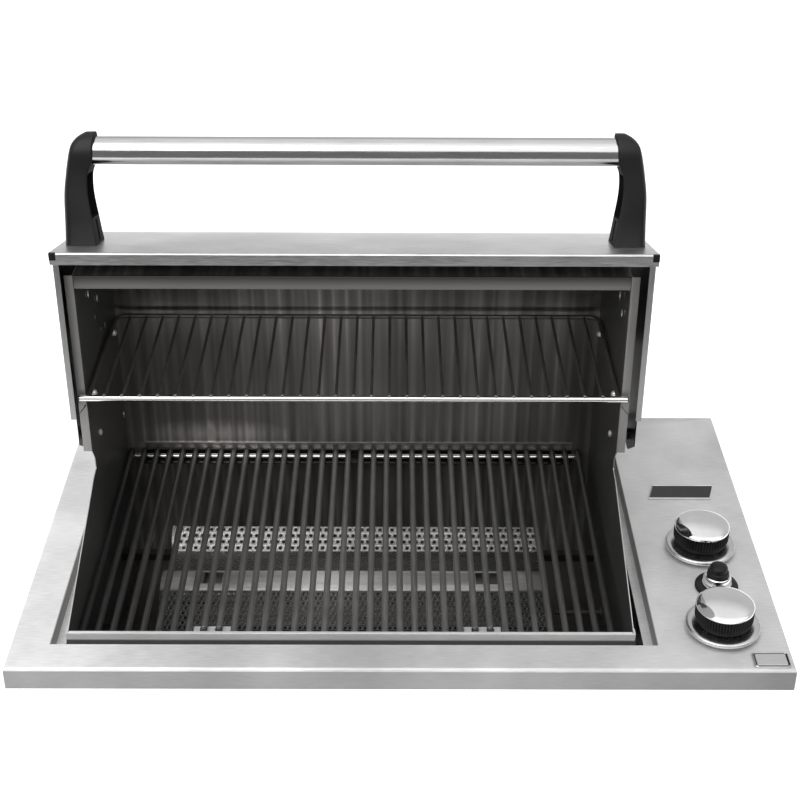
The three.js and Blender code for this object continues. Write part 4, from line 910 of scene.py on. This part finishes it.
POST = {"depth": 51, "width": 36.6, "height": 125.6, "inset": 40.6, "foot": 51.5, "lift": 0.3}
POST_INNER = HOOD_HALF - POST["inset"]
POST_MIDDLE = POST["foot"] + POST["depth"] / 2
POST_ROW_SHARES = [
    (0, 0, 1, 1), (0.19, 0.1, 1, 0.9), (0.44, 0.23, 1, 0.82), (0.62, 0.23, 0.93, 0.79),
    (0.73, 0.1, 0.87, 0.79), (0.83, 0.06, 0.8, 0.79), (0.9, 0.05, 0.72, 0.72), (0.96, 0.02, 0.55, 0.56),
    (1, 0.02, 0.32, 0.3),
]
ROUND = {"outer": 9, "inner": 1.6}
ROUND_SHARES = (2.2, 1.6)  # of the width and the half depth, at least
TAPER_SHARE = 0.12
OVERRUN = 3.0
POCKET = {"wall": 5, "depth": 20, "bottom": 30, "top": 80}
GROOVE = {"half": 4.5, "depth": 9, "bottom": 3, "top": 27}
BAR = {"radius": 16, "seat": 9, "ease": 1, "standoff": 105}


def eased(rows, steps):
    """The rows with smooth ones between, by a curve through their values."""
    out = []
    for i in range(len(rows) - 1):
        before, a, b, after = rows[max(i - 1, 0)], rows[i], rows[i + 1], rows[min(i + 2, len(rows) - 1)]
        for k in range(steps):
            t = k / steps
            out.append([
                q + ((r - p) * t + (2 * p - 5 * q + 4 * r - s) * t * t + (3 * q - p - 3 * r + s) * t ** 3) / 2
                for p, q, r, s in zip(before, a, b, after)
            ])
    return out + [rows[-1]]


def post_ring(sign, row):
    """A section of the post: a flat inner face, rounded outer corners and eased inner ones."""
    up, inner_share, outer_share, depth_share = row
    inner = POST_INNER + inner_share * POST["width"]
    outer = POST_INNER + outer_share * POST["width"]
    half = depth_share * POST["depth"] / 2
    big = min(ROUND["outer"], (outer - inner) / ROUND_SHARES[0], half / ROUND_SHARES[1])
    small = min(ROUND["inner"], big / 2)
    plan = []
    for middle, radius, start in (
        ((outer - big, half - big), big, 0.0),
        ((inner + small, half - small), small, math.pi / 2),
        ((inner + small, -half + small), small, math.pi),
        ((outer - big, -half + big), big, 1.5 * math.pi),
    ):
        plan += arc(middle, radius, start, start + math.pi / 2, steps=6)
    above = POST["lift"] + up * POST["height"]
    return [on_panel(HOOD_X + sign * h, POST_MIDDLE + along, above) for h, along in plan]


def post_cutter(sign, half, depth, bottom, top, name):
    rings = []
    for above, reach in ((bottom, half), (top, half - half * TAPER_SHARE)):
        plan = [(-OVERRUN, -reach), (depth, -reach), (depth, reach), (-OVERRUN, reach)]
        spots = ((HOOD_X + sign * (POST_INNER + h), POST_MIDDLE + along) for h, along in plan)
        rings.append([on_panel(*spot, above) for spot in spots])
    return Shape().loft(rings).object(name)


def make_post(side, sign):
    rings = [post_ring(sign, row) for row in eased(POST_ROW_SHARES, steps=5)]
    obj = Shape().loft(rings).object(f"post_{side}")
    half = POST["depth"] / 2 - POCKET["wall"]
    carved(
        obj,
        post_cutter(sign, half, POCKET["depth"], POCKET["bottom"], POCKET["top"], "pocket"),
        post_cutter(sign, GROOVE["half"], GROOVE["depth"], GROOVE["bottom"], GROOVE["top"], "groove"),
    )
    stand_in(obj, LOOKS["cast"], f"handle_post_{side}", angle=40)


def make_bar():
    half = POST_INNER + BAR["seat"]
    _, y, z = on_panel(0, POST_MIDDLE, BAR["standoff"])
    tube = Shape().rod(BAR["radius"], HOOD_X - half, HOOD_X + half, along_x(y, z), BAR["ease"], sides=96)
    stand_in(tube.object("handle_tube"), BAR_STEEL, "handle_bar")


def finish_hood():
    make_hood_skin()
    make_corner_caps()
    make_bar()
    for side, sign in SIDES.items():
        make_post(side, sign)
        refined(f"hood_side_{side}", HOOD_SIDE, bevel=EASE)


# Knobs

KNOB_X = 363.0
KNOB_Y = {"front": 71.6, "rear": 225.1}
CAP = {"low": 31.7, "radius": 32.6, "rim": 34, "crown": 41.5, "edge": 0.5}
FACET = {"inner": 20.3, "turn": 0.62, "aim": 0.5, "area": 2e-5, "level": 0.9999}

# Profiles, each point (radius, height) in mm, and for the grip (radius, rib, height)

RIBS = 60
GRIP_PROFILE = (
    (29.8, 0, 12), (30.6, 0, 12.8), (30.6, 0, 17), (31.6, 0.8, 17.5), (32, 0.8, 18.4), (32, 0.8, 30.4),
    (31.4, 0.8, 31.4),
)
BEZEL_PROFILE = (
    (9, 0), (32, 0), (32, 4), (41, 4), (42, 5), (42, 7.6), (41.5, 8.5), (40.4, 9.3), (34.2, 9.2),
    (33.2, 8.8), (9, 8.8), (9, 0),
)


def make_grip(which, y):
    wave = (1.0, 0.35, -1.0, 0.35) * RIBS
    rings = []
    for radius, rib, z in GRIP_PROFILE:
        reach = [(radius + rib * share, a) for share, a in zip(wave, full_turn(len(wave)))]
        rings.append([(KNOB_X + r * math.cos(a), y + r * math.sin(a), z) for r, a in reach])
    stand_in(Shape().loft(rings).object(f"grip_{which}"), LOOKS["plastic"], f"knob_grip_{which}", angle=25)


def make_cap(which, y):
    low, radius, edge = CAP["low"], CAP["radius"], CAP["edge"]
    top = dome(radius, CAP["rim"], CAP["crown"] - CAP["rim"], steps=16)
    profile = [(0, low), (radius - edge, low), (radius, low + edge), *top]
    obj = lathe(f"cap_{which}", profile, upright(KNOB_X, y), sides=96)
    work = bmesh.new()
    work.from_mesh(obj.data)
    aim, turn = FACET["aim"], FACET["turn"]
    ahead = Vector((-math.cos(aim), -math.sin(aim), 0))
    normal = ahead * math.sin(turn) + Vector((0, 0, math.cos(turn)))
    spot = at(KNOB_X, y, CAP["crown"]) + ahead * FACET["inner"] * MM
    geometry = work.verts[:] + work.edges[:] + work.faces[:]
    cut = bmesh.ops.bisect_plane(work, geom=geometry, plane_co=spot, plane_no=normal, clear_outer=True)
    rim = [e for e in cut["geom_cut"] if isinstance(e, bmesh.types.BMEdge)]
    bmesh.ops.holes_fill(work, edges=rim)
    bmesh.ops.recalc_face_normals(work, faces=work.faces)
    work.to_mesh(obj.data)
    work.free()
    stand_in(obj, LOOKS["chrome"], f"knob_cap_{which}", angle=18)
    obj.data.materials.append(FACET_STEEL)
    for face in obj.data.polygons:
        face.material_index = int(face.normal.dot(normal) > FACET["level"] and face.area > FACET["area"])


def make_bezel(which, y):
    obj = lathe(f"bezel_{which}", BEZEL_PROFILE, upright(KNOB_X, y), sides=96)
    stand_in(obj, BEZEL_STEEL, f"knob_bezel_{which}", angle=50)


# Push igniter

IGNITER = (370, 149)
BASE_PROFILE = ((6.6, 0), (25, 0), (25, 3.2), (24.4, 4.4), (23, 5), (6.6, 5), (6.6, 0))
COLLAR_PROFILE = (
    (13, 5), (17.5, 5), (17.5, 8.4), (17, 9.2), (16.6, 11), (15.6, 15.8), (14.9, 17.4), (14.2, 18),
    (13, 18), (13, 5),
)
BUTTON_PROFILE = (
    (0, -20), (5.6, -20), (5.6, 8.3), (12.2, 8.3), (12.4, 20.4), (12.4, 22.2), (11.8, 23), (10.6, 23.3),
    (10.2, 24.2), *dome(10.6, 27.5, 5.5),
)


def make_igniter():
    place = upright(*IGNITER)
    stand_in(lathe("igniter_foot", BASE_PROFILE, place), LOOKS["cast"], "igniter_base")
    stand_in(lathe("igniter_ring", COLLAR_PROFILE, place), LOOKS["chrome"], "igniter_collar")
    stand_in(lathe("igniter_cap", BUTTON_PROFILE, place), LOOKS["rubber"], "igniter_button", angle=40)


# Bare plates

PLATE = {"x": 359.5, "y": 345, "width": 88, "depth": 31, "slant": 9}
BADGE = {"x": 406.5, "y": 16, "width": 40, "depth": 25, "corner": 4}
ACUTE_SHARE, OBTUSE_SHARE = 1.3, 0.8  # how far an inset moves the corners along X

# Sections of their frames and panels, each point (inset, height)

PLATE_RIM = ((0, 0), (0, 2.2), (0.7, 3), (1.3, 3), (1.8, 2.2), (1.8, 0))
PLATE_PANEL = ((1.6, 0), (1.6, 1.8), (1.9, 2.1))
BADGE_RIM = ((0, 0), (0, 1.9), (0.5, 2.5), (1.3, 2.5), (1.8, 2), (1.8, 0))
BADGE_GROOVE = ((1.7, 0), (1.7, 1), (2, 1.3))
BADGE_PANEL = ((3.1, 0.2), (3.1, 1.9), (3.4, 2.2))


def plate_plan(inset):
    """The nameplate's slanted outline, a distance inside its edge."""
    w, d, slant = PLATE["width"] / 2, PLATE["depth"] / 2 - inset, PLATE["slant"]
    outer, inner = w - ACUTE_SHARE * inset, w - slant - OBTUSE_SHARE * inset
    return [(PLATE["x"] + a, PLATE["y"] + b) for a, b in ((-outer, -d), (inner, -d), (outer, d), (-inner, d))]


def badge_plan(inset):
    radius = BADGE["corner"] - inset * OBTUSE_SHARE
    hx, hy = BADGE["width"] / 2 - inset - radius, BADGE["depth"] / 2 - inset - radius
    plan = []
    for k, (sx, sy) in enumerate(((1, 1), (-1, 1), (-1, -1), (1, -1))):
        middle = (BADGE["x"] + sx * hx, BADGE["y"] + sy * hy)
        plan += arc(middle, radius, k * math.pi / 2, (k + 1) * math.pi / 2, steps=5)
    return plan


def ringed(name, plan, levels, ends=False):
    """A body through outlines given as (inset, height) pairs."""
    return Shape().loft([[(x, y, z) for x, y in plan(inset)] for inset, z in levels], ends).object(name)


def framed(name, plan, levels):
    """A ring body, closed on itself."""
    return ringed(name, plan, [*levels, levels[0]])


def make_plates():
    stand_in(ringed("nameplate_panel", plate_plan, PLATE_PANEL, True), LOOKS["plate"], "nameplate")
    added(framed("nameplate_frame", plate_plan, PLATE_RIM), FRAME_STEEL, "firebox", angle=25)
    stand_in(framed("badge_frame", badge_plan, BADGE_RIM), FRAME_STEEL, "corner_badge", angle=40)
    added(ringed("badge_groove", badge_plan, BADGE_GROOVE, True), LOOKS["plate"], "firebox")
    added(ringed("badge_panel", badge_plan, BADGE_PANEL, True), LOOKS["brushed"], "firebox")


refined("deck_panel", DECK_STEEL, bevel=DECK_EASE)
finish_box()
finish_hood()
for side in SIDES:
    make_grid(side)
make_rack()
make_pins()
make_marks()
make_cover()
for which, y in KNOB_Y.items():
    make_grip(which, y)
    make_cap(which, y)
    make_bezel(which, y)
make_igniter()
make_plates()
for name in NODES:
    if name not in DONE:
        refined(name)

# Camera

PITCH, YAW, ROLL = 0.530580093, 0.00490836788, -0.00530442447
FOCAL, PHOTO_WIDTH = 1548.12, 800.0  # in pixels of the photograph
SENSOR = 36.0
EYE = at(-8.243, -1301.68, 1103.15)


def look_axes():
    sp, cp = math.sin(PITCH), math.cos(PITCH)
    sy, cy = math.sin(YAW), math.cos(YAW)
    ahead = Vector((sy * cp, cy * cp, -sp))
    right = Vector((cy, -sy, 0))
    down = ahead.cross(right)
    cr, sr = math.cos(ROLL), math.sin(ROLL)
    return cr * right + sr * down, cr * down - sr * right, ahead


camera = linked("camera", bpy.data.cameras.new("camera"))
camera.data.sensor_width = SENSOR
camera.data.lens = FOCAL * SENSOR / PHOTO_WIDTH
camera.data.clip_end = 60.0
right, down, ahead = look_axes()
camera.matrix_world = Matrix.Translation(EYE) @ Matrix((right, -down, -ahead)).transposed().to_4x4()
bpy.context.scene.camera = camera

# Floor: a pale worktop under the deck's folded edge, with a cut-out for the casing. It ends close to the
# grill, so the hood's lip mirrors the darker room. A white board hangs at its edge and hides the casing.

FLOOR_LEVEL, FLOOR_FRONT, BOARD_LOW, REACH = -28.4, -230.0, -250.0, 9000.0
CUTOUT = (-409, 409, 16, 518)
PALE = 0.85
OWN_LIGHT = {"floor": 0.45, "board": 1}


def staged(name, corners, faces):
    mesh = bpy.data.meshes.new(name)
    mesh.from_pydata(corners, [], faces)
    obj = linked(name, mesh)
    m = Nodes(f"pale_{name}")
    m.set(Base_Color=m.ramp(m.noise(3.0), (0.3, grey(PALE)), (0.7, grey(PALE + 0.02))), Roughness=0.8)
    m.set(Emission_Color=(1, 1, 1, 1), Emission_Strength=OWN_LIGHT[name])
    dress(obj, m.material)


def make_floor():
    x0, x1, y0, y1 = CUTOUT
    xs = (-REACH, x0, x1, REACH)
    ys = (FLOOR_FRONT, y0, y1, REACH)
    corners = [at(x, y, FLOOR_LEVEL) for y in ys for x in xs]
    cells = [(i, j) for j in range(3) for i in range(3) if (i, j) != (1, 1)]
    faces = [(j * 4 + i, j * 4 + i + 1, j * 4 + i + 5, j * 4 + i + 4) for i, j in cells]
    staged("floor", corners, faces)
    board = [at(x, FLOOR_FRONT, z) for z in (FLOOR_LEVEL, BOARD_LOW) for x in (-REACH, REACH)]
    staged("board", board, [(0, 1, 3, 2)])


make_floor()

# Light: a studio bright overhead and behind, and dim from the camera's side up to a low angle

# Stops are (sine of the elevation, tone)

BACK_STOPS = ((-1, 0.4), (-0.05, 0.5), (0.05, 0.58), (0.6, 0.6), (0.8, 0.95), (1, 1))
FRONT_STOPS = ((-1, 0.4), (-0.66, 0.4), (-0.6, 0.2), (0.33, 0.2), (0.42, 1.6), (1, 1.35))

BACK_EDGE = 0.12  # half the width of the change from front to back, where the sphere's radius is 1
SEEN_TONE = 1.05
KEY = {"place": (-1100, -1500, 2600), "target": (0, 250, 0), "size": 2.6, "power": 30}


def make_world():
    world = bpy.data.worlds.new("studio")
    bpy.context.scene.world = world
    w = Tree(world)
    aim = w.new("ShaderNodeTexCoord").outputs["Generated"]
    sine = w.span(w.axis("Z", aim), 0.0, 1.0, -1.0, 1.0)
    blend = w.new("ShaderNodeMix")
    blend.data_type = "RGBA"
    w.put(blend.inputs[0], w.span(w.axis("Y", aim), 0.0, 1.0, -BACK_EDGE, BACK_EDGE))
    for socket, stops in ((6, FRONT_STOPS), (7, BACK_STOPS)):
        greys = [((place + 1) / 2, grey(tone)) for place, tone in stops]
        w.put(blend.inputs[socket], w.ramp(sine, *greys))
    lit = w.new("ShaderNodeBackground", Color=blend.outputs[2])
    seen = w.new("ShaderNodeBackground", Color=(1, 1, 1, 1), Strength=SEEN_TONE)
    choose = w.new("ShaderNodeMixShader", Fac=w.new("ShaderNodeLightPath").outputs["Is Camera Ray"])
    w.put(choose.inputs[1], lit.outputs[0])
    w.put(choose.inputs[2], seen.outputs[0])
    w.new("ShaderNodeOutputWorld", Surface=choose.outputs[0])


def make_key_light():
    data = bpy.data.lights.new("key_light", "AREA")
    data.shape = "RECTANGLE"
    data.size = data.size_y = KEY["size"]
    data.energy = KEY["power"]
    lamp = linked("key_light", data)
    lamp.location = at(*KEY["place"])
    lamp.rotation_mode = "QUATERNION"
    lamp.rotation_quaternion = (at(*KEY["target"]) - lamp.location).to_track_quat("-Z", "Y")


make_world()
make_key_light()

bpy.context.scene.view_settings.view_transform = "Standard"
bpy.context.scene.view_settings.look = "None"
